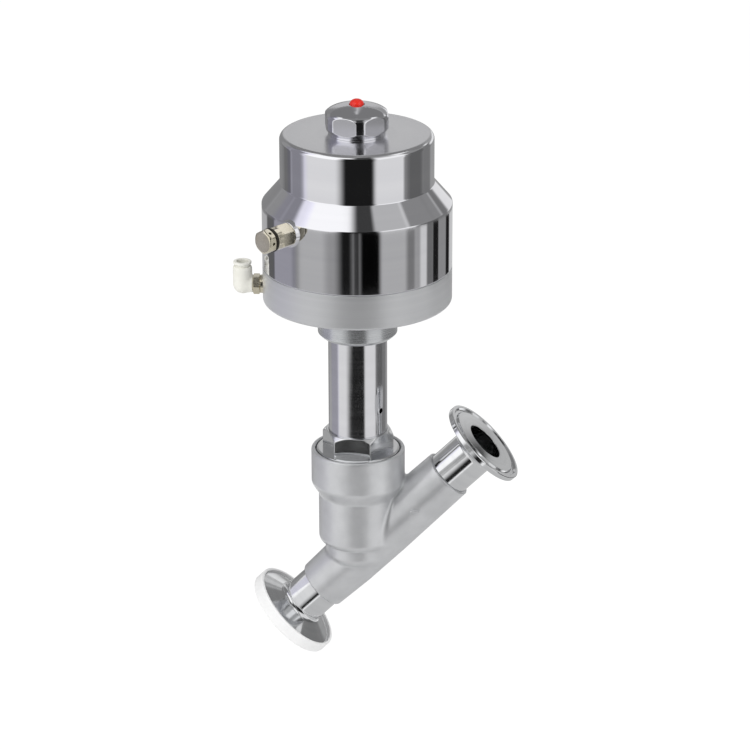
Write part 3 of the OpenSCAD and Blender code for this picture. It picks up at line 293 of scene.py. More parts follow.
def grown(field, low, high, step, slopeReach=0.12):
    # The surface where a field is zero. Each grid cell that the surface crosses gets one point, the mean of
    # the crossings on its edges, and each crossed edge a quad between its four cells. Then every point
    # slides along the field's slope until the field is zero there, and the slope gives its normal.
    slides, leastSlope = 6, 0.05
    grids = [np.arange(low[k], high[k] + step, step) for k in range(3)]
    x, y, z = np.meshgrid(*grids, indexing="ij")
    values = field(x, y, z).astype(np.float32)
    inside = values < 0
    shape = np.array(values.shape) - 1
    total = np.zeros((*shape, 3), np.float32)
    found = np.zeros(shape, np.int16)
    crossings = []
    for axis in range(3):
        a = np.moveaxis(inside, axis, 0)
        cut = np.argwhere(np.moveaxis(a[:-1] != a[1:], 0, axis))
        ahead = cut.copy()
        ahead[:, axis] += 1
        f0, f1 = values[tuple(cut.T)], values[tuple(ahead.T)]
        at = cut.astype(float)
        at[:, axis] += f0 / (f0 - f1)
        others = [k for k in range(3) if k != axis]
        around = []
        for da, db in ((0, 0), (1, 0), (1, 1), (0, 1)):
            cell = cut.copy()
            cell[:, others[0]] -= da
            cell[:, others[1]] -= db
            np.add.at(total, tuple(cell.T), at.astype(np.float32))
            np.add.at(found, tuple(cell.T), 1)
            around.append(cell)
        crossings.append((axis, around, f0 < 0))
    used = np.argwhere(found > 0)
    number = np.full(shape, -1, np.int64)
    number[tuple(used.T)] = np.arange(len(used))
    points = np.array(low, float) + total[tuple(used.T)] / found[tuple(used.T)][:, None] * step
    quads = []
    for axis, around, starts in crossings:
        quad = np.stack([number[tuple(cell.T)] for cell in around], axis=1)
        flip = starts if axis != 1 else ~starts
        quad[~flip] = quad[~flip][:, ::-1]
        quads.append(quad)
    for slide in range(slides):
        slope = fieldSlope(field, points)
        move = -(field(*points.T) / np.maximum(np.sum(slope ** 2, axis=1), leastSlope))[:, None] * slope
        points = points + np.clip(move, -step / 2, step / 2)
    normals = fieldSlope(field, points, slopeReach)
    normals /= np.maximum(np.linalg.norm(normals, axis=1, keepdims=True), 1e-9)
    return points, normals, np.concatenate(quads)


def toLinear(hexText):
    # Each pair of digits is an sRGB value, turned to linear light by the standard curve
    parts = [int(hexText[k:k + 2], 16) / 255 for k in (0, 2, 4)]
    return [c / 12.92 if c <= 0.04045 else ((c + 0.055) / 1.055) ** 2.4 for c in parts] + [1.0]


def addNode(tree, kind, settings=None, links=None):
    node = tree.nodes.new("ShaderNode" + kind)
    for key, value in (settings or {}).items():
        if isinstance(key, int) or key in node.inputs:
            node.inputs[key].default_value = value
        else:
            setattr(node, key, value)
    for key, source in (links or {}).items():
        tree.links.new(source, node.inputs[key])
    return node


def startMaterial(name, colour, metallic, roughness, extra=None):
    material = bpy.data.materials.new(name)
    material.use_nodes = True
    tree = material.node_tree
    shader = tree.nodes["Principled BSDF"]
    settings = {"Base Color": toLinear(colour), "Metallic": metallic, "Roughness": roughness, **(extra or {})}
    for key, value in settings.items():
        shader.inputs[key].default_value = value
    material.diffuse_color = toLinear(colour)
    return material, tree, shader


def turnedPoint(tree, point, onPipe):
    # The place as distance from the turning axis and height along it, so that a pattern of it makes rings
    centre = (stemX, 0.0, 0.0)
    if onPipe:
        lean = {"rotation_type": "Y_AXIS", "Angle": -pipeLean}
        point = addNode(tree, "VectorRotate", lean, {"Vector": point}).outputs[0]
        centre = (0.0, 0.0, 0.0)
    moved = addNode(tree, "VectorMath", {"operation": "SUBTRACT", 1: centre}, {0: point}).outputs[0]
    level = {"operation": "MULTIPLY", 1: (1.0, 1.0, 0.0)}
    flat = addNode(tree, "VectorMath", level, {0: moved}).outputs[0]
    reach = addNode(tree, "VectorMath", {"operation": "LENGTH"}, {0: flat}).outputs["Value"]
    height = addNode(tree, "SeparateXYZ", None, {0: moved}).outputs["Z"]
    return addNode(tree, "CombineXYZ", None, {0: reach, 1: height}).outputs[0]


mostNoise = {"From Min": 0.3, "From Max": 0.7}  # Nearly all of a noise pattern's values lie in this range


def finish(tree, shader, mottle, grain, dark, light, smooth, dull, relief, height):
    # The mottle mixes the two colours. The grain raises the surface, and runs from smooth to dull.
    share = addNode(tree, "MapRange", {**mostNoise, "To Min": 0.0, "To Max": 1.0}, {"Value": mottle})
    colours = {"data_type": "RGBA", 6: toLinear(dark), 7: toLinear(light)}
    mixed = addNode(tree, "Mix", colours, {0: share.outputs["Result"]})
    tree.links.new(mixed.outputs[2], shader.inputs["Base Color"])
    raised = addNode(tree, "Bump", {"Strength": relief, "Distance": height / 1000}, {"Height": grain})
    tree.links.new(raised.outputs["Normal"], shader.inputs["Normal"])
    limits = {**mostNoise, "To Min": smooth, "To Max": dull}
    return addNode(tree, "MapRange", limits, {"Value": grain}).outputs["Result"]


# How a grained surface was made: the mottle's width, the grain's detail and harshness, the relief's height
blasted = {"mottle": 9.0, "detail": 3.0, "harsh": 0.6, "height": 0.08}
moulded = {"mottle": 6.0, "detail": 2.0, "harsh": 0.5, "height": 0.03}


def grainedSurface(name, dark, light, metallic, rough, made, grain, relief, extra=None):
    # Noise of the mottle's width gives the colour, and noise of the grain's width the relief and roughness
    material, tree, shader = startMaterial(name, light, metallic, rough, extra)
    point = {"Vector": addNode(tree, "TexCoord").outputs["Object"]}
    mottle = addNode(tree, "TexNoise", {"Scale": 1000.0 / made["mottle"], "Detail": 3.0}, point)
    fine = {"Scale": 1000.0 / grain, "Detail": made["detail"], "Roughness": made["harsh"]}
    fine = addNode(tree, "TexNoise", fine, point)
    result = finish(tree, shader, mottle.outputs["Fac"], fine.outputs["Fac"], dark, light,
                    rough - 0.05, rough + 0.05, relief, made["height"])
    tree.links.new(result, shader.inputs["Roughness"])
    return material


def turnedSurface(name, dark, light, rough, groove, relief, smear, metallic=1.0, onPipe=False, deck=None):
    # Rings of the groove's width, wider rings of the two tones, and smudges that dull the polish by the smear
    wideRings, smudgeSize, reliefHeight = 14, 14.0, 0.02
    material, tree, shader = startMaterial(name, light, metallic, rough)
    point = addNode(tree, "TexCoord").outputs["Object"]
    around = {"Vector": turnedPoint(tree, point, onPipe)}
    ringed = {"Scale": 1000.0 / groove, "Detail": 2.0, "Roughness": 0.6}
    rings = addNode(tree, "TexNoise", ringed, around).outputs["Fac"]
    banded = {"Scale": 1000.0 / (groove * wideRings), "Detail": 2.0}
    bands = addNode(tree, "TexNoise", banded, around).outputs["Fac"]
    smudge = addNode(tree, "TexNoise", {"Scale": 1000.0 / smudgeSize, "Detail": 2.0}, {"Vector": point})
    result = finish(tree, shader, bands, rings, dark, light, rough * 0.8, rough * 1.2, relief, reliefHeight)
    limits = {**mostNoise, "To Min": -smear, "To Max": smear}
    smeared = addNode(tree, "MapRange", limits, {"Value": smudge.outputs["Fac"]}).outputs["Result"]
    result = addNode(tree, "Math", {"operation": "ADD"}, {0: smeared, 1: result}).outputs[0]
    if deck:
        # The flat deck on top is brushed duller than the walls below it
        top, duller = (deck["height"] - partShift[2]) / 1000, deck["duller"]
        height = addNode(tree, "SeparateXYZ", None, {0: point}).outputs["Z"]
        limits = {"From Min": top - 0.0014, "From Max": top - 0.0001, "To Min": 0.0, "To Max": duller}
        brushed = addNode(tree, "MapRange", limits, {"Value": height}).outputs["Result"]
        result = addNode(tree, "Math", {"operation": "ADD"}, {0: result, 1: brushed}).outputs[0]
    tree.links.new(result, shader.inputs["Roughness"])
    return material


# Investment cast stainless, bead blasted: an even soft grey with no clear reflections
castStainless = grainedSurface("castStainless", "d6d7d9", "e1e2e4", 0.74, 0.36, blasted, 0.45, 0.3)
# Bright polished stainless: clear reflections with the faintest turning lines
polishedStainless = turnedSurface("polishedStainless", "e4e5e7", "eeeff0", 0.10, 0.35, 0.05, 0.015,
                                  onPipe=True)
# The same finish on pieces that are turned about the stem
polishedBonnet = turnedSurface("polishedBonnet", "e2e3e5", "eaebec", 0.12, 0.35, 0.04, 0.02)
# Mirror polished stainless: sharp streaks, hardly a grain
mirrorStainless = turnedSurface("mirrorStainless", "e6e6ea", "ededf0", 0.05, 0.6, 0.02, 0.01)
# The neck tube's polish is a little softer, so its streaks blend into each other
neckStainless = turnedSurface("neckStainless", "e2e2e5", "e9e9ec", 0.11, 0.6, 0.02, 0.01)
# Fine turned stainless: an even satin grey with rings round the stem
satinStainless = turnedSurface("satinStainless", "dcdddf", "e3e4e6", 0.40, 0.3, 0.02, 0.01, metallic=0.9)
# Finer turned collar, in which dark and light still show as soft streaks
collarStainless = turnedSurface("collarStainless", "ced0d3", "d8dadc", 0.26, 0.3, 0.012, 0.02)
# Machined stainless of the inner pieces
machinedStainless = turnedSurface("machinedStainless", "bbbdbf", "c8c9cb", 0.25, 0.3, 0.12, 0.02)
# The drilled wall of the weep hole, painted near black as shade because hardly any light reaches it
paintedShadeSteel = grainedSurface("paintedShadeSteel", "1c1d1f", "26272a", 1.0, 0.6, blasted, 0.4, 0.3)
# Oil tempered spring wire: darker and duller than the turned pieces
springWire = grainedSurface("springWire", "7d8085", "93969a", 1.0, 0.38, blasted, 0.8, 0.3)
# Plain bearing bronze: warm brown yellow with turning rings
plainBronze = turnedSurface("plainBronze", "a67c45", "bd9355", 0.35, 0.3, 0.12, 0.02)
# Nickel plated brass: champagne grey, clear but not mirror bright
nickelBrass = grainedSurface("nickelBrass", "e3dbc4", "eee8d6", 1.0, 0.21, blasted, 0.6, 0.02)
# Nitrile rubber: deep matt black
sealRubber = grainedSurface("sealRubber", "1b1813", "272219", 0.0, 0.5, moulded, 0.5, 0.12)
# PTFE: dense waxy white
waxy = {"Subsurface Weight": 0.1, "Subsurface Scale": 0.001}
whitePtfe = grainedSurface("whitePtfe", "e6e6e2", "eeeeea", 0.0, 0.45, moulded, 0.5, 0.12, waxy)
# PBT of the push-in elbow: warm off-white, slightly satin
elbowPlastic = grainedSurface("elbowPlastic", "f0efe5", "f7f6ee", 0.0, 0.38, moulded, 0.5, 0.12)
# Low density polyethylene: milky, waxy white that lets some light through
milky = {"Subsurface Weight": 0.35, "Subsurface Scale": 0.002, "Subsurface Radius": (1.0, 1.0, 1.0)}
milkyPolyethylene = grainedSurface("milkyPolyethylene", "fafafa", "ffffff", 0.0, 0.4, moulded, 0.5, 0.12,
                                   milky)
# Red acetal rod end: saturated and shiny
redAcetal = grainedSurface("redAcetal", "e2281d", "f03a2b", 0.0, 0.18, moulded, 0.5, 0.12)
print("materials made")

slotMaterials = {
    "cast_steel": castStainless, "polished_steel": polishedStainless, "mirror_steel": mirrorStainless,
    "satin_steel": satinStainless, "turned_steel": machinedStainless, "spring_steel": springWire,
    "bronze": plainBronze, "nickel_brass": nickelBrass, "seal_rubber": sealRubber, "ptfe": whitePtfe,
    "elbow_plastic": elbowPlastic, "red_plastic": redAcetal, "cover_plastic": milkyPolyethylene,
}
for part in frame["record"]["subparts"]:
    node = frame["nodes"].get(part["node"])
    if node:
        node.data.materials.clear()
        node.data.materials.append(slotMaterials[part["material_slot"]])

casting = {
    "socketRadius": 25.4, "socketTop": 63.3, "socketFoot": 43.7, "coneFoot": 37.5, "bendUp": 0.7,
    "bendOut": 0.44, "bowlRadius": 21.5, "bowlFoot": 8.7, "lipRound": 4.0, "skirtRadius": 18.0,
    "skirtFoot": -1.8, "skirtRound": 5.0, "skirtInto": 4, "pipeFoot": -28.5, "pipeTop": 70.0,
    "pipeEndRadius": 14.2, "pipeMidRadius": 15.15, "middleFrom": -6.0, "middleTo": 21.5, "boreRadius": 11.3,
    "cavityRadius": 17.5, "cavityFoot": 12.0, "skirtBore": 15.3, "skirtBoreInto": 2, "threadRadius": 20.1,
    "ledge": 44.0, "mouthRadius": 23.2, "mouthDeep": 2.4, "seatTop": 4.0, "seatFoot": 0.6,
    "seatRadius": 11.05, "seatMiddle": 2.0, "seatHalf": 6.0, "lowSaddle": 1.1, "lowSaddleAt": 2.0,
    "highSaddle": 2.4, "highSaddleAt": 30.0, "markAt": 46.0, "markHalf": 2.1, "markThick": 0.6,
    "markRadius": 15.75, "boxLow": (-33, -27, -33), "boxHigh": (62, 27, 65), "cell": 0.72,
}


def castingField(x, y, z):
    # Outside: the upright bowl with its socket and skirt, and the leaning pipe, joined by a soft minimum
    # whose width grows from the pipe's foot to its top. Inside: the bowl's bore, the thread, and the pipe's
    # bore above and below the seat wall, taken away by a soft maximum.
    c = casting
    reach = np.sqrt(x * x + y * y)
    along = x * pipeWay[0] + z * pipeWay[2]
    aside = x * pipeWay[2] - z * pipeWay[0]
    across = np.sqrt(aside ** 2 + y * y)
    heights = [c["coneFoot"] - c["bendUp"], c["coneFoot"] + c["bendUp"],
               c["socketFoot"] - c["bendUp"], c["socketFoot"] + c["bendUp"]]
    widths = [c["bowlRadius"], c["bowlRadius"] + c["bendOut"],
              c["socketRadius"] - c["bendOut"], c["socketRadius"]]
    bowl = softMax(reach - np.interp(z, heights, widths), c["bowlFoot"] - z, c["lipRound"])
    bowl = softMax(bowl, z - c["socketTop"], 1.2)
    skirt = softMax(reach - c["skirtRadius"], c["skirtFoot"] - z, c["skirtRound"])
    skirt = softMax(skirt, z - c["cavityFoot"] - c["skirtInto"], 1.0)
    upright = softMin(bowl, skirt, 0.9)
    radius = np.interp(along, [c["pipeFoot"], c["middleFrom"], c["middleTo"], c["pipeTop"]],
                       [c["pipeEndRadius"], c["pipeMidRadius"], c["pipeMidRadius"], c["pipeEndRadius"]])
    pipe = softMax(across - radius, np.maximum(along - c["pipeTop"], c["pipeFoot"] - along), 0.7)
    markX, markZ = x - c["markAt"] * pipeWay[0], z - c["markAt"] * pipeWay[2]
    mark = softMax(np.abs(markX) - c["markHalf"], np.abs(markZ) - c["markThick"], 0.3)
    mark = softMax(mark, across - c["markRadius"], 0.25)
    pipe = softMin(pipe, np.maximum(mark, y), 0.2)
    saddle = np.interp(along, [c["lowSaddleAt"], c["highSaddleAt"]], [c["lowSaddle"], c["highSaddle"]])
    outside = softMin(upright, pipe, saddle)
    bore = across - c["boreRadius"]
    inlet = softMax(bore, z - c["seatFoot"], 0.4)
    outlet = softMax(bore, c["seatTop"] - z, 0.4)
    cavity = softMax(reach - c["cavityRadius"], c["cavityFoot"] - z, 0.8)
    skirtBore = softMax(reach - c["skirtBore"], c["seatTop"] - z, 0.6)
    skirtBore = softMax(skirtBore, z - c["cavityFoot"] - c["skirtBoreInto"], 0.5)
    seat = np.maximum(reach - c["seatRadius"], np.abs(z - c["seatMiddle"]) - c["seatHalf"])
    thread = softMax(reach - c["threadRadius"], c["ledge"] - z, 0.5)
    mouth = softMax(reach - c["mouthRadius"], c["socketTop"] - c["mouthDeep"] - z, 0.6)
    inside = np.minimum.reduce([inlet, outlet, cavity, skirtBore, seat, thread, mouth])
    return softMax(outside, -inside, 0.6)


makePiece("castBody", [grown(castingField, casting["boxLow"], casting["boxHigh"], casting["cell"])],
          "valve", "cast_steel", castStainless, "valve_body")

ferrule = {"rim": 25.25, "rimThick": 2.85, "rimEdge": 0.4, "back": math.tan(math.radians(20)), "tube": 12.7,
           "bore": 11.05, "fillet": 3.0, "groove": 21.75, "grooveHalf": 1.6, "grooveDeep": 1.3,
           "outletStub": 28.0, "inletStub": 24.0}


def ferruleCorners(face, stub):
    # From the stub's end out and up its wall, over the sloping back and the rim, and in across the groove
    f = ferrule
    backFoot = face - f["rimThick"] - (f["rim"] - f["tube"]) * f["back"]
    grooveFoot = face - f["grooveDeep"]
    return [(f["bore"], face - stub, 0.2), (f["tube"], face - stub, 0.25), (f["tube"], backFoot, f["fillet"]),
            (f["rim"], face - f["rimThick"], 0.35), (f["rim"], face - f["rimEdge"], 0.3),
            (f["rim"] - f["rimEdge"], face, 0.3), (f["groove"] + f["grooveHalf"], face, 0.3),
            (f["groove"] + f["grooveHalf"] / 2, grooveFoot, 0.5),
            (f["groove"] - f["grooveHalf"] / 2, grooveFoot, 0.5),
            (f["groove"] - f["grooveHalf"], face, 0.3), (f["bore"], face, 0.35)]


makePiece("outletFerrule", [turned(ferruleCorners(outletReach, ferrule["outletStub"]), way=pipeWay)],
          "valve", "polished_steel", polishedStainless, "outlet_ferrule")
makePiece("inletFerrule", [turned(ferruleCorners(inletReach, ferrule["inletStub"]), way=-pipeWay)],
          "valve", "polished_steel", polishedStainless, "inlet_ferrule")

cover = {"inner": 25.3, "outer": 26.9, "deep": 4.1, "disc": 1.6, "rimUp": 1.2, "rimWide": 2.4, "slope": 1}
coverFoot, coverDisc = inletReach - cover["deep"], inletReach + cover["disc"]
coverTop, coverStep = coverDisc + cover["rimUp"], cover["outer"] - cover["rimWide"]
coverCorners = [(0, inletReach), (cover["inner"], inletReach, 0.3), (cover["inner"], coverFoot, 0.3),
                (cover["outer"], coverFoot, 0.5), (cover["outer"], coverTop, 1.0), (coverStep, coverTop, 0.6),
                (coverStep - cover["slope"], coverDisc, 0.5), (0, coverDisc)]
makePiece("protectiveCap", [turned(coverCorners, way=-pipeWay, closed=False)],
          "cover", "cover_plastic", milkyPolyethylene, "inlet_cover")
print("body made")

bonnet = {"across": 34.0, "corner": 55.5, "hole": 15.95, "foot": 45.5, "thread": 20.0, "flange": 22.5,
          "flangeFoot": 61.9, "flangeTop": 63.4, "flangeEdge": 0.3, "flangeSlope": 1.0, "hexReach": 19.7,
          "hexTop": 74.3, "bevel": 2.6, "undercut": 0.9, "undercutTop": 0.6, "sunk": 1}
neck = {"radius": 15.85, "bore": 12.85, "foot": 66.3, "top": 155.3, "endBand": 1}
weep = {"radius": 1.5, "angle": -32.0, "height": 88.1, "floor": 12.6}
collar = {"radius": 21.35, "foot": 129.0, "top": 149.3, "bevel": 1.8, "gap": 0.1}


def flatCorner(degrees):
    # The angle that turned() counts from its own start, of a direction about the stem
    u, v = sideways(stemWay)
    way = radialWay(degrees)
    return math.atan2(way @ v, way @ u) % (2 * math.pi)


b = bonnet
screwCorners = [(b["hole"], b["foot"], 0.2), (b["thread"], b["foot"], 0.6),
                (b["thread"], b["flangeFoot"], 0.2), (b["flange"], b["flangeFoot"], 0.3),
                (b["flange"], b["flangeTop"] - b["flangeEdge"], 0.5),
                (b["flange"] - b["flangeSlope"], b["flangeTop"], 0.4), (b["hole"], b["flangeTop"], 0.2)]
hexFoot = b["flangeTop"] - b["sunk"]
hexCorners = [(b["hole"], hexFoot, 0.1), (b["hexReach"] - b["undercut"], hexFoot, 0.1),
              (b["hexReach"], b["flangeTop"] + b["undercutTop"], 0.3),
              (b["hexReach"], b["hexTop"] - b["bevel"], 1.6),
              (b["hexReach"] - b["bevel"], b["hexTop"], 1.6), (b["hole"], b["hexTop"], 0.2)]
bonnetFlats = (b["across"], flatCorner(b["corner"]))
makePiece("hexBonnet", [turned(screwCorners), turned(hexCorners, flats=bonnetFlats, steps=360, soft=0.35)],
          "valve", "turned_steel", polishedBonnet, "bonnet")
neckLow, neckHigh = neck["foot"] + neck["endBand"], neck["top"] - neck["endBand"]
neckRim = [(neck["radius"], neckHigh), (neck["radius"], neck["top"], 0.2), (neck["bore"], neck["top"], 0.2),
           (neck["bore"], neck["foot"], 0.2), (neck["radius"], neck["foot"], 0.2), (neck["radius"], neckLow)]
neckWall, weepBore = pierced(neck["radius"], neckLow, neckHigh, weep)
makePiece("neckTube", neckWall + [turned(neckRim, closed=False)],
          "valve", "mirror_steel", neckStainless, "neck_tube")
# The weep hole's wall carries painted shade
makePiece("weepBore", [weepBore], "valve", "mirror_steel", paintedShadeSteel)
collarBore = neck["radius"] + collar["gap"]
collarCorners = [(collarBore, collar["foot"], 0.2), (collar["radius"] - collar["bevel"], collar["foot"], 0.4),
                 (collar["radius"], collar["foot"] + collar["bevel"], 0.6),
                 (collar["radius"], collar["top"], 0.2), (collarBore, collar["top"], 0.2)]
makePiece("clampCollar", [turned(collarCorners)], "valve", "satin_steel", collarStainless, "clamp_collar")

port = {"angle": 184.0, "height": 156.7, "nutFace": 49.9, "spot": 6.16, "fineWide": 8, "fineCount": 65}
actuator = {"radius": 50.5, "foot": 149.3, "ringTop": 168.7, "coneFoot": 203.6, "coneTop": 215.0,
            "topRadius": 40.8, "deck": 241.4, "ceiling": 238.9, "edge": 3.0, "bore": 48.0, "topBore": 38.3,
            "innerCone": 1.1, "shankHole": 10.1, "spigotTop": 173.7, "chamberFoot": 151.8, "chamber": 42.0,
            "hub": 19.3, "hubTop": 171.7, "bush": 7.45, "neckHole": 15.95, "neckTop": 155.3,
            "footRound": 2.6, "footWide": 3.2, "lipIn": 0.6, "lipDown": 0.4, "gap": 0.1}
a = actuator
spotFace = {"radius": port["spot"], "angle": port["angle"], "height": port["height"],
            "floor": port["nutFace"]}
spigot = a["bore"] - a["gap"]
ringLip, ringFoot = a["radius"] - a["lipIn"], a["radius"] - a["footWide"]
baseCorners = [(ringLip, a["ringTop"]), (spigot, a["ringTop"], 0.1), (spigot, a["spigotTop"], 0.3),
               (a["chamber"], a["spigotTop"], 0.3), (a["chamber"], a["chamberFoot"], 0.6),
               (a["hub"], a["chamberFoot"], 0.6), (a["hub"], a["hubTop"], 0.8), (a["bush"], a["hubTop"], 0.3),
               (a["bush"], a["neckTop"], 0.1), (a["neckHole"], a["neckTop"], 0.2),
               (a["neckHole"], a["foot"], 0.3), (ringFoot, a["foot"])]
wallCorners = [(ringFoot, a["foot"]), (a["radius"], a["foot"], a["footRound"]),
               (a["radius"], a["ringTop"] - a["lipDown"], 0.3), (ringLip, a["ringTop"])]
nearPort = (flatCorner(port["angle"]), port["fineWide"] / a["radius"], port["fineCount"])
wallPatch = turned(wallCorners, closed=False, steps=256, longest=0.3, fine=nearPort)
makePiece("baseRing", [spotFaced(wallPatch, spotFace), turned(baseCorners, closed=False, steps=256)],
          "actuator", "satin_steel", satinStainless, "actuator_base")

# The drawn housing: mirror polished walls under a brushed deck
brushedDeck = {"height": a["deck"], "duller": 0.16}
drawnStainless = turnedSurface("drawnStainless", "e6e6ea", "ededf0", 0.05, 0.6, 0.02, 0.01, deck=brushedDeck)
housingCorners = [(a["bore"], a["ringTop"], 0.1), (a["radius"], a["ringTop"], 0.5),
                  (a["radius"], a["coneFoot"], 1.0), (a["topRadius"], a["coneTop"], 1.5),
                  (a["topRadius"], a["deck"], a["edge"]), (a["shankHole"], a["deck"], 0.3),
                  (a["shankHole"], a["ceiling"], 0.3), (a["topBore"], a["ceiling"], 1.0),
                  (a["topBore"], a["coneTop"] - a["innerCone"], 0.8),
                  (a["bore"], a["coneFoot"] - a["innerCone"], 0.8)]
makePiece("drawnHousing", [turned(housingCorners, steps=256)],
          "actuator", "mirror_steel", drawnStainless, "housing")

springs = {"outer": {"diameter": 60.0, "wire": 5.0, "turns": 6},
           "inner": {"diameter": 38.0, "wire": 3.6, "turns": 8}}
springFoot, springTop, springTravel, closedPitch = 178.7, a["ceiling"], 13.0, 1.04
stepsPerTurn, sidesOfWire = 48, 16


def coiled(diameter, wire, turns):
    # A round wire wound about the stem. Its height rises by one wire a turn over the first and last turn and
    # evenly between them, and a flat disc closes each end.
    turn = np.linspace(0, turns, turns * stepsPerTurn + 1)
    full, step = springTop - springFoot - wire, wire * closedPitch
    middle = step + (turn - 1) * (full - 2 * step) / (turns - 2)
    rise = np.where(turn < 1, turn * step, np.where(turn > turns - 1, full - (turns - turn) * step, middle))
    around, side = np.meshgrid(2 * np.pi * turn, np.linspace(0, 2 * np.pi, sidesOfWire + 1), indexing="ij")
    out = np.stack([np.cos(around), np.sin(around), 0 * around], axis=-1)
    normals = np.cos(side)[..., None] * out + np.sin(side)[..., None] * stemWay
    centres = diameter / 2 * out + (springFoot + wire / 2 + rise)[:, None, None] * stemWay
    points = centres + wire / 2 * normals
    patches = [(points.reshape(-1, 3), normals.reshape(-1, 3), gridQuads(*side.shape)[:, ::-1])]
    for end, sense in ((0, -1.0), (-1, 1.0)):
        disc = np.concatenate([points[end], centres[end]])
        face = np.repeat([sense * np.cross(stemWay, out[end, 0])], len(disc), axis=0)
        patches.append((disc, face, gridQuads(2, sidesOfWire + 1)[:, ::int(-sense)]))
    return patches


for kind, coil in springs.items():
    spring = makePiece(kind + "Spring", coiled(**coil),
                       "actuator", "spring_steel", springWire, kind + "_spring")
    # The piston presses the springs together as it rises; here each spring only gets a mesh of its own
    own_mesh(spring)

silencer = {"angle": 232.0, "height": 198.0, "face": 51.9, "across": 11.8, "reach": 6.81, "hexTop": 8.0,
            "bevel": 0.6, "footIn": 1.0, "barrel": 6.0, "barrelTop": 11.2, "sealTop": 12.8, "sealReach": 6.4,
            "sealGap": 0.1, "headTop": 17.6, "headWall": 1.4, "chamber": 3.6, "passage": 2.0, "vent": 0.75,
            "ventUp": 2.2, "boss": 7.0, "bossBore": 3.2, "bossDeep": -2.6, "bossBend": -0.9, "bossFlare": 0.5,
            "bossRound": 0.3, "cell": 0.24, "boxHalf": 8}
s = silencer
silencerWay = radialWay(s["angle"])
silencerAt = silencerWay * s["face"] + np.array([0, 0, s["height"]])
bossCorners = [(s["bossBore"], s["bossDeep"], 0.1), (s["boss"] + s["bossFlare"], s["bossDeep"], 0.1),
               (s["boss"], s["bossBend"], 0.8), (s["boss"] - s["bossRound"], 0.0, 0.3),
               (s["bossBore"], 0.0, 0.1)]
makePiece("silencerBoss", [turned(bossCorners, at=silencerAt, way=silencerWay, steps=96)],
          "actuator", "mirror_steel", mirrorStainless)

cap = {"round": 17.4, "across": 32.2, "corner": -77.0, "foot": 241.4, "footReach": 15.2, "footTop": 242.4,
       "wallLow": 245.4, "wallHigh": 250.9, "top": 257.3, "hole": 4.1}
# The dome is a quarter ellipse about the stem, cut off by the indicator's hole
domeEnd = math.acos(cap["hole"] / cap["round"])
domeRise = (cap["top"] - cap["wallHigh"]) / math.sin(domeEnd)
domeRows = [(cap["round"] * math.cos(t), cap["wallHigh"] + domeRise * math.sin(t), 1.5)
            for t in np.linspace(0, domeEnd, 15)]
domeRows[-1] = (domeRows[-1][0], domeRows[-1][1], 0.3)
capCorners = [(cap["hole"], cap["foot"], 0.1), (cap["footReach"], cap["foot"], 0.2),
              (cap["footReach"], cap["footTop"], 0.3), (cap["round"], cap["wallLow"], 0.6)] + domeRows

# The cap: mirror polished, with milled flats that are duller. Their base colour is a painted reflection: a
# darker grey for the one soft grey patch that each flat shows
cappedStainless, capTree, capShader = startMaterial("cappedStainless", "e6e6ea", 1.0, 0.05)
capPoint = addNode(capTree, "TexCoord").outputs["Object"]
fromStem = {"operation": "ADD", 1: (-stemX, 0.0, 0.0)}
capPoint = addNode(capTree, "VectorMath", fromStem, {0: capPoint}).outputs[0]
reaches = []
for flatAngle in (-107, -47, 13):
    across = {"operation": "DOT_PRODUCT", 1: tuple(radialWay(flatAngle))}
    ahead = addNode(capTree, "VectorMath", across, {0: capPoint}).outputs["Value"]
    reaches.append(addNode(capTree, "Math", {"operation": "ABSOLUTE"}, {0: ahead}).outputs[0])
farther = addNode(capTree, "Math", {"operation": "MAXIMUM"}, {0: reaches[0], 1: reaches[1]}).outputs[0]
farthest = addNode(capTree, "Math", {"operation": "MAXIMUM"}, {0: farther, 1: reaches[2]}).outputs[0]
# One on the flats, which lie half the width from the axis, and nothing elsewhere
onFlat = {"operation": "COMPARE", 1: cap["across"] / 2000, 2: 0.00003}
milled = addNode(capTree, "Math", onFlat, {0: farthest}).outputs[0]
# Painted reflection: on the flats the colour is darkened to the grey patch that each flat mirrors
paintedFlatReflection = {"data_type": "RGBA", 6: toLinear("e6e6ea"), 7: toLinear("b4b4b8")}
paintedFlatReflection = addNode(capTree, "Mix", paintedFlatReflection, {0: milled}).outputs[2]
capTree.links.new(paintedFlatReflection, capShader.inputs["Base Color"])
dulled = {"From Min": 0.0, "From Max": 1.0, "To Min": 0.05, "To Max": 0.22}
dulled = addNode(capTree, "MapRange", dulled, {"Value": milled}).outputs["Result"]
capTree.links.new(dulled, capShader.inputs["Roughness"])

capFlats = (cap["across"], flatCorner(cap["corner"]))
makePiece("domedCap", [turned(capCorners, flats=capFlats, steps=384, longest=0.25)],
          "actuator", "polished_steel", cappedStainless, "top_cap")
indicator = {"radius": 3.8, "foot": 195.0, "up": 2.8, "top": 260.1}
tipRows = [(indicator["radius"] * math.cos(t), indicator["top"] + indicator["up"] * (math.sin(t) - 1), 0.2)
           for t in np.radians(np.arange(0, 90, 10))]
rodCorners = [(0, indicator["foot"]), (indicator["radius"], indicator["foot"], 0.3)]
rodCorners += tipRows + [(0, indicator["top"])]
makePiece("indicatorRod", [turned(rodCorners, closed=False, steps=96)],
          "stem", "red_plastic", redAcetal, "indicator")
print("actuator made")

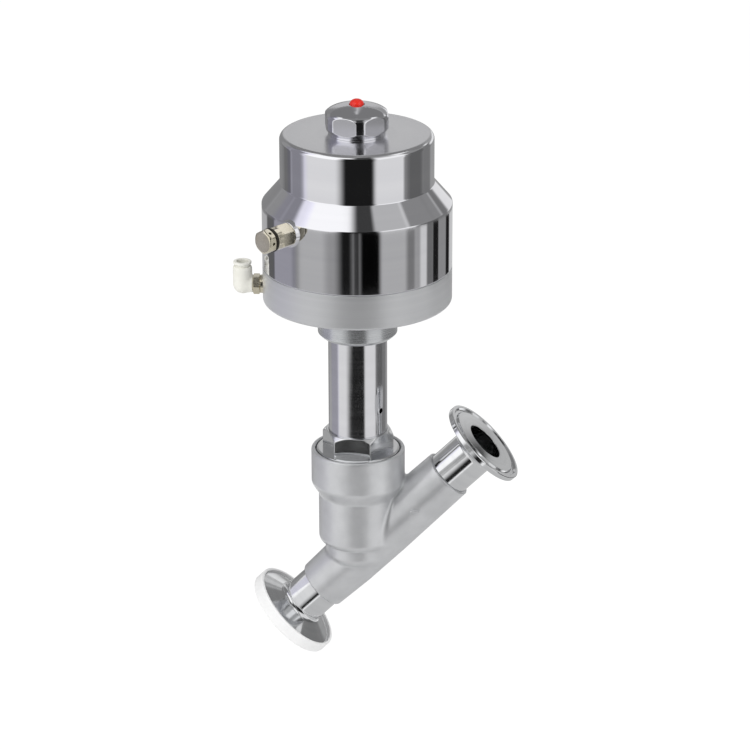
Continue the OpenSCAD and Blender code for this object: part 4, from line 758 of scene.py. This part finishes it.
nut = {"across": 9.8, "reach": 5.65, "collar": 4.95, "collarTop": 2.0, "top": 5.8, "bore": 1.8,
       "spigot": 2.95, "spigotTop": 10.0, "thread": 4.75, "threadFoot": -3.0, "bevelUp": 0.25,
       "bevelIn": 0.5, "hexBevel": 0.45, "hexFootIn": 0.2, "hexTopIn": 0.3}
portWay = radialWay(port["angle"])
nutAt = portWay * port["nutFace"] + np.array([0, 0, port["height"]])
n = nut
nutBodyCorners = [(n["bore"], n["threadFoot"], 0.1), (n["thread"], n["threadFoot"], 0.2),
                  (n["thread"], 0.0, 0.1), (n["collar"], 0.0, 0.2),
                  (n["collar"], n["collarTop"] - n["bevelUp"], 0.2),
                  (n["collar"] - n["bevelIn"], n["collarTop"], 0.1), (n["bore"], n["collarTop"], 0.1)]
nutHexCorners = [(n["bore"], n["collarTop"], 0.1), (n["collar"] - n["hexFootIn"], n["collarTop"], 0.1),
                 (n["reach"], n["collarTop"] + n["hexBevel"], 0.15),
                 (n["reach"], n["top"] - n["hexBevel"], 0.15),
                 (n["collar"] - n["hexTopIn"], n["top"], 0.15), (n["spigot"], n["top"], 0.1),
                 (n["spigot"], n["spigotTop"], 0.1), (n["bore"], n["spigotTop"], 0.1)]
nutHex = turned(nutHexCorners, at=nutAt, way=portWay, flats=(n["across"], 0.0),
                steps=240, longest=0.2, soft=0.12)
makePiece("elbowNut", [turned(nutBodyCorners, at=nutAt, way=portWay, steps=96), nutHex],
          "actuator", "nickel_brass", nickelBrass, "elbow_nut")

elbow = {"axis": 61.3, "radius": 5.15, "leg": 4.6, "up": 10.4, "start": 55.8, "seal": 4.2, "stop": 2.5,
         "mouth": 4.05, "swivel": 3.0, "swivelDeep": 7, "topRound": 1.6, "legJoin": 1.2, "cell": 0.3}
collet = {"bore": 3.1, "sleeve": 4.0, "flange": 4.9, "foot": 6.9, "flangeFoot": 11.6, "top": 12.9}
elbowAt = portWay * elbow["axis"]


def elbowField(x, y, z):
    # A level leg towards the nut and an upright leg round a ball at their crossing, joined by soft minima,
    # with the air passage and the collet's seat taken away
    e = elbow
    px, py, pz = x - elbowAt[0], y - elbowAt[1], z - port["height"]
    out = px * portWay[0] + py * portWay[1]
    side = py * portWay[0] - px * portWay[1]
    reach = np.sqrt(out * out + side * side)
    low = np.sqrt(side * side + pz * pz)
    level = softMax(low - e["leg"], np.maximum(out, e["start"] - e["axis"] - out), 0.6)
    upright = softMax(reach - e["radius"], np.maximum(pz - e["up"], -pz), e["topRound"])
    knee = np.sqrt(reach * reach + pz * pz) - e["radius"]
    body = softMin(softMin(upright, knee, 0.4), level, e["legJoin"])
    bore = np.maximum(reach - e["mouth"], e["seal"] - pz)
    stop = np.maximum(reach - e["stop"], -pz)
    swivel = np.maximum(low - e["swivel"], np.maximum(out, -e["swivelDeep"] - out))
    return softMax(body, -np.minimum.reduce([bore, stop, swivel]), 0.3)


elbowMid = elbowAt + np.array([0.5, 0.5, port["height"]])
elbowLow, elbowHigh = elbowMid - 7.5, elbowMid + np.array([8, 8, 12])
makePiece("airElbow", [grown(elbowField, elbowLow, elbowHigh, elbow["cell"])],
          "elbow", "elbow_plastic", elbowPlastic, "elbow_body")
c = collet
colletCorners = [(c["bore"], c["foot"], 0.1), (c["sleeve"], c["foot"], 0.1),
                 (c["sleeve"], c["flangeFoot"], 0.1), (c["flange"], c["flangeFoot"], 0.2),
                 (c["flange"], c["top"], 0.5), (c["bore"], c["top"], 0.4)]
makePiece("releaseCollet", [turned(colletCorners, at=elbowAt + np.array([0, 0, port["height"]]), steps=96)],
          "collet", "elbow_plastic", elbowPlastic, "release_collet")

silencerCorners = [(s["chamber"], 0.0, 0.1), (s["reach"] - s["footIn"], 0.0, 0.2),
                   (s["reach"], s["bevel"], 0.2), (s["reach"], s["hexTop"] - s["bevel"], 0.2),
                   (s["barrel"], s["hexTop"], 0.1),
                   (s["barrel"], s["barrelTop"], 0.3), (s["chamber"], s["barrelTop"], 0.1)]
silencerFlats = (s["across"], math.pi / 6)
makePiece("silencerBase", [turned(silencerCorners, at=silencerAt, way=silencerWay, flats=silencerFlats,
                                  steps=240, longest=0.25, soft=0.12)],
          "actuator", "nickel_brass", nickelBrass, "silencer_base")
sealBore = s["chamber"] + s["sealGap"]
sealCorners = [(sealBore, s["barrelTop"], 0.3), (s["sealReach"], s["barrelTop"], 0.7),
               (s["sealReach"], s["sealTop"], 0.7), (sealBore, s["sealTop"], 0.3)]
makePiece("silencerSeal", [turned(sealCorners, at=silencerAt, way=silencerWay, steps=96)],
          "actuator", "seal_rubber", sealRubber, "silencer_o_ring")


def silencerHeadField(x, y, z):
    # A hexagonal bar between two planes, rounded by a wider cone at its ends, less six vents and the passage
    px, py, pz = x - silencerAt[0], y - silencerAt[1], z - silencerAt[2]
    along = px * silencerWay[0] + py * silencerWay[1]
    side = py * silencerWay[0] - px * silencerWay[1]
    reach = np.sqrt(side * side + pz * pz)
    middle = (s["sealTop"] + s["headTop"]) / 2
    end = np.abs(along - middle) - (s["headTop"] - s["sealTop"]) / 2
    coneIn, coneShare, farOff = 1.1, 0.8, 100.0
    field = softMax(end, (reach - s["reach"] + coneIn + end) * coneShare, 0.5)
    vents = reach + farOff
    for turn in np.radians((0, 60, 120)):
        flat = side * math.cos(turn) + pz * math.sin(turn)
        other = pz * math.cos(turn) - side * math.sin(turn)
        field = softMax(field, np.abs(flat) - s["across"] / 2, 0.35)
        vents = np.minimum(vents, np.sqrt(other ** 2 + (along - s["sealTop"] - s["ventUp"]) ** 2) - s["vent"])
    passage = np.maximum(reach - s["passage"], along - s["headTop"] + s["headWall"])
    return softMax(field, -np.minimum(vents, passage), 0.15)


headMid = silencerAt + silencerWay * (s["sealTop"] + s["headTop"]) / 2
headLow, headHigh = headMid - s["boxHalf"], headMid + s["boxHalf"]
makePiece("silencerHead", [grown(silencerHeadField, headLow, headHigh, s["cell"], 0.06)],
          "actuator", "nickel_brass", nickelBrass, "silencer_head")
print("pieces made")

# The camera stands where the photo was taken from. Its focal length is in pixels of the photo's width.
camera = placed("camera", bpy.data.cameras.new("camera"))
focalPixels, photoPixels, sensorWidth = 3415.53, 750, 36.0
cameraAt = (0.126256, -1.700931, 0.711304)
right, up = (0.9941398, 0.1080849, -0.0019124), (-0.0379076, 0.3651236, 0.9301870)
back = (0.1012375, -0.9246633, 0.3670811)
camera.matrix_world = Matrix([[right[k], up[k], back[k], cameraAt[k]] for k in range(3)] + [[0, 0, 0, 1]])
camera.data.sensor_width = sensorWidth
camera.data.lens = sensorWidth * focalPixels / photoPixels
camera.data.clip_end = 100
bpy.context.scene.camera = camera
cameraAzimuth = math.atan2(cameraAt[1], cameraAt[0] - stemX)

# Cards of the studio as the front of the part sees them: from, to, lowest and highest angle in degrees,
# left to right from the camera's side, then their brightness and the width of their soft sides
farCards = [
    (-400, 400, -100, -34, 0.55, 8), (-400, 400, 62, 100, 0.26, 8),
    (-180, -137, -28, 48, 0.26, 12), (-142, -112, -28, -4, 0.17, 14),
    (-142, -112, -4, 48, 0.30, 10), (-114, -84, -28, 40, 0.29, 8),
    (-86, -24, -28, 14, 0.80, 16), (-86, -14, 14, 62, 1.15, 12),
    (-150, -84, -28, -20.5, 0.40, 12), (-25, 29, -28, 44, 0.012, 18),
    (-38, 30, -28, -20.5, 0.012, 26), (-6, 44, 44, 72, 0.05, 16),
    (27, 73, -28, 14, 0.78, 10), (30, 80, 14, 46, 1.0, 8), (30, 80, 46, 64, 0.52, 10),
    (73, 85, -28, 14, 0.26, 6), (80, 118, -28, 22, 0.13, 12), (80, 130, 22, 48, 0.27, 8),
    (112, 145, -28, 22, 0.20, 12), (140, 180, -28, 30, 0.34, 12),
    (-180, -115, 30, 100, 0.22, 12), (115, 180, 30, 100, 0.22, 12),
    (134, 168, -4, 13, 0.85, 8), (168, 200, 5, 26, 0.55, 10), (-200, -166, 5, 26, 0.55, 10),
]
# Strips close round the wide cylinder, which darken what it shows: from, to, brightness, soft width
nearCards = [
    (-200, -140, 0.45, 8), (-140, -119, 0.12, 6), (-119, -86, 0.37, 3), (-86, -74, 0.28, 6),
    (-74, -38, 0.47, 14),
    (-38, -20, 0.32, 14), (-23, -4, 0.010, 14), (-4, 2, 0.05, 3), (2, 30, 0.002, 10), (28, 62, 0.46, 8),
    (62, 74, 0.20, 8), (74, 82, 0.36, 4), (82, 93, 0.66, 5), (93, 104, 0.16, 4), (104, 116, 0.012, 3),
    (116, 135, 0.28, 4), (135, 148, 0.012, 4), (148, 200, 0.60, 6),
]
# Softer strips below them for the satin ring
ringCards = [(-200, -70, 0.80, 30), (-70, -25, 0.62, 40), (-25, 30, 0.30, 40), (30, 75, 0.50, 30),
             (75, 140, 0.72, 30), (140, 200, 0.50, 20)]
violetLoss = np.array([0.10, 0.11, 0.0])  # What a violet card holds back of red, green and blue


def cardShare(value, low, high, soft):
    # One between the two limits, falling to nothing over the soft width by 3s^2 - 2s^3
    share = np.clip(np.minimum(value - low, high - value) / soft + 0.5, 0, 1)
    return share * share * (3 - 2 * share)


def studioPiece(name, points, shade, lean):
    # A grid that glows by its points' shade and is seen in reflections only
    mesh = bpy.data.meshes.new(name)
    mesh.from_pydata(points.reshape(-1, 3), [], gridQuads(*shade.shape))
    tinted = shade.ravel()[:, None] * (1 - lean.ravel()[:, None] * violetLoss)
    tinted = np.hstack([tinted, np.ones((tinted.shape[0], 1))]).astype(np.float32)
    layer = mesh.color_attributes.new("shade", "FLOAT_COLOR", "POINT")
    layer.data.foreach_set("color", tinted.ravel())
    piece = placed(name, mesh)
    piece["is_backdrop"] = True
    for ray in ("camera", "diffuse", "transmission", "volume_scatter", "shadow"):
        setattr(piece, "visible_" + ray, False)
    mesh.materials.append(studioCloth)
    return piece


def emptyTree(block):
    block.use_nodes = True
    block.node_tree.nodes.clear()
    return block.node_tree


studioCloth = bpy.data.materials.new("studioCloth")
clothTree = emptyTree(studioCloth)
studioCloth.cycles.emission_sampling = "NONE"
shadeColour = addNode(clothTree, "VertexColor", {"layer_name": "shade"}).outputs["Color"]
glow = addNode(clothTree, "Emission", {"Strength": 1.0}, {"Color": shadeColour})
addNode(clothTree, "OutputMaterial", None, {"Surface": glow.outputs[0]})

aside, rise = np.meshgrid(np.linspace(-180, 180, 721), np.linspace(-88, 88, 177))
shade = np.ones_like(aside)
for left, rightSide, low, high, dark, soft in farCards:
    shade += (dark - shade) * cardShare(aside, left, rightSide, soft) * cardShare(rise, low, high, 4)
bearing, climb = cameraAzimuth + np.radians(aside), np.radians(rise)
level = np.cos(climb)
farPoints = np.stack([level * np.cos(bearing), level * np.sin(bearing), np.sin(climb)], axis=-1)
farRadius, farMiddle = 4.0, 0.08
# The left side of the studio is a little violet
violet = cardShare(aside, -125, -80, 10) * cardShare(rise, -28, 50, 6)
studioPiece("studioFar", farRadius * farPoints + np.array([stemX, 0, farMiddle]), shade, violet)

# The near strips stand where the wide cylinder's mirrored rays reach them. A ray that leaves the wall at half
# the angle meets a circle of radius R about the stem at angle - asin(wall / R * sin(angle / 2)). By then it
# has fallen by its way's length times the slope of the view, and there the strips for the ring below begin.
nearRadius, wall, viewSlope = 0.25, actuator["radius"] / 1000, 0.372
angle = np.radians(np.linspace(-180, 180, 721))
lag = np.arcsin(wall / nearRadius * np.sin(angle / 2)) * np.clip((np.pi - np.abs(angle)) / 0.5, 0, 1)
way = np.sqrt(nearRadius ** 2 - (wall * np.sin(angle / 2)) ** 2) - wall * np.cos(angle / 2)
border = (actuator["ringTop"] - partShift[2]) / 1000 - viewSlope * way
bearing = cameraAzimuth + angle - lag
openShade, rows = 0.4, []
for offset, cards in ((-0.030, ringCards), (-0.0003, ringCards), (0.0, nearCards), (0.040, nearCards)):
    bright = np.full_like(angle, openShade)
    for left, rightSide, dark, width in cards:
        bright += (dark - bright) * cardShare(np.degrees(angle), left, rightSide, width)
    across, along = stemX + nearRadius * np.cos(bearing), nearRadius * np.sin(bearing)
    rows.append((np.stack([across, along, border + offset], axis=-1), bright))
nearPoints, nearShade = np.stack([row[0] for row in rows]), np.stack([row[1] for row in rows])
nearAside = np.repeat([np.degrees(angle)], len(rows), axis=0)
studioPiece("studioNear", nearPoints, nearShade, cardShare(nearAside, -122, -80, 8))

world = bpy.data.worlds.new("studioWorld")
bpy.context.scene.world = world
worldTree = emptyTree(world)
ray = addNode(worldTree, "LightPath").outputs
greater = {"operation": "MAXIMUM"}
direct = {0: ray["Is Camera Ray"], 1: ray["Is Glossy Ray"]}
seen = addNode(worldTree, "Math", greater, direct).outputs[0]
seen = addNode(worldTree, "Math", greater, {0: seen, 1: ray["Is Transmission Ray"]}).outputs[0]
soft = addNode(worldTree, "Background", {"Color": (1, 1, 1, 1), "Strength": 0.62}).outputs[0]
white = addNode(worldTree, "Background", {"Color": (1, 1, 1, 1), "Strength": 1.0}).outputs[0]
both = addNode(worldTree, "MixShader", None, {0: seen, 1: soft, 2: white})
addNode(worldTree, "OutputWorld", None, {"Surface": both.outputs[0]})

lamps = {"key": ((-1.6, -2.0, 2.2), 1.8, 39.0), "fill": ((2.2, -1.4, 1.2), 1.8, 16.0)}
partMiddle = np.array((-0.05, 0.0, 0.03))
for name, (place, size, power) in lamps.items():
    lamp = bpy.data.lights.new(name, "AREA")
    lamp.size, lamp.energy = size, power
    lampObject = placed(name, lamp)
    lampObject.location = place
    lampObject.rotation_mode = "QUATERNION"
    lampObject.rotation_quaternion = Vector(partMiddle - np.array(place)).to_track_quat("-Z", "Y")
    lampObject.visible_glossy = False

# The floor lies below the lowest place that the protective cap reaches when it is pulled off
floorDrop, floorHalf = 0.032, 4
floorHeight = cadLow[2] - floorDrop
floorMesh = bpy.data.meshes.new("floor")
floorCorners = [(x * floorHalf, y * floorHalf, floorHeight) for x, y in ((-1, -1), (1, -1), (1, 1), (-1, 1))]
floorMesh.from_pydata(floorCorners, [], [(0, 1, 2, 3)])
floorPiece = placed("floor", floorMesh)
floorPiece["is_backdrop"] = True
floorPiece.visible_glossy = False
floorMaterial = bpy.data.materials.new("paleFloor")
floorTree = emptyTree(floorMaterial)
cameraRay = addNode(floorTree, "LightPath").outputs["Is Camera Ray"]
share = addNode(floorTree, "Math", {"operation": "MULTIPLY", 1: 0.75}, {0: cameraRay}).outputs[0]
matt = addNode(floorTree, "BsdfDiffuse", {"Color": (0.96, 0.96, 0.96, 1)}).outputs[0]
bright = addNode(floorTree, "Emission", {"Color": (1, 1, 1, 1), "Strength": 1.12}).outputs[0]
mixedFloor = addNode(floorTree, "MixShader", None, {0: share, 1: matt, 2: bright})
addNode(floorTree, "OutputMaterial", None, {"Surface": mixedFloor.outputs[0]})
floorMesh.materials.append(floorMaterial)
bpy.context.scene.view_settings.view_transform = "Standard"
print("studio made")

low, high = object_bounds()
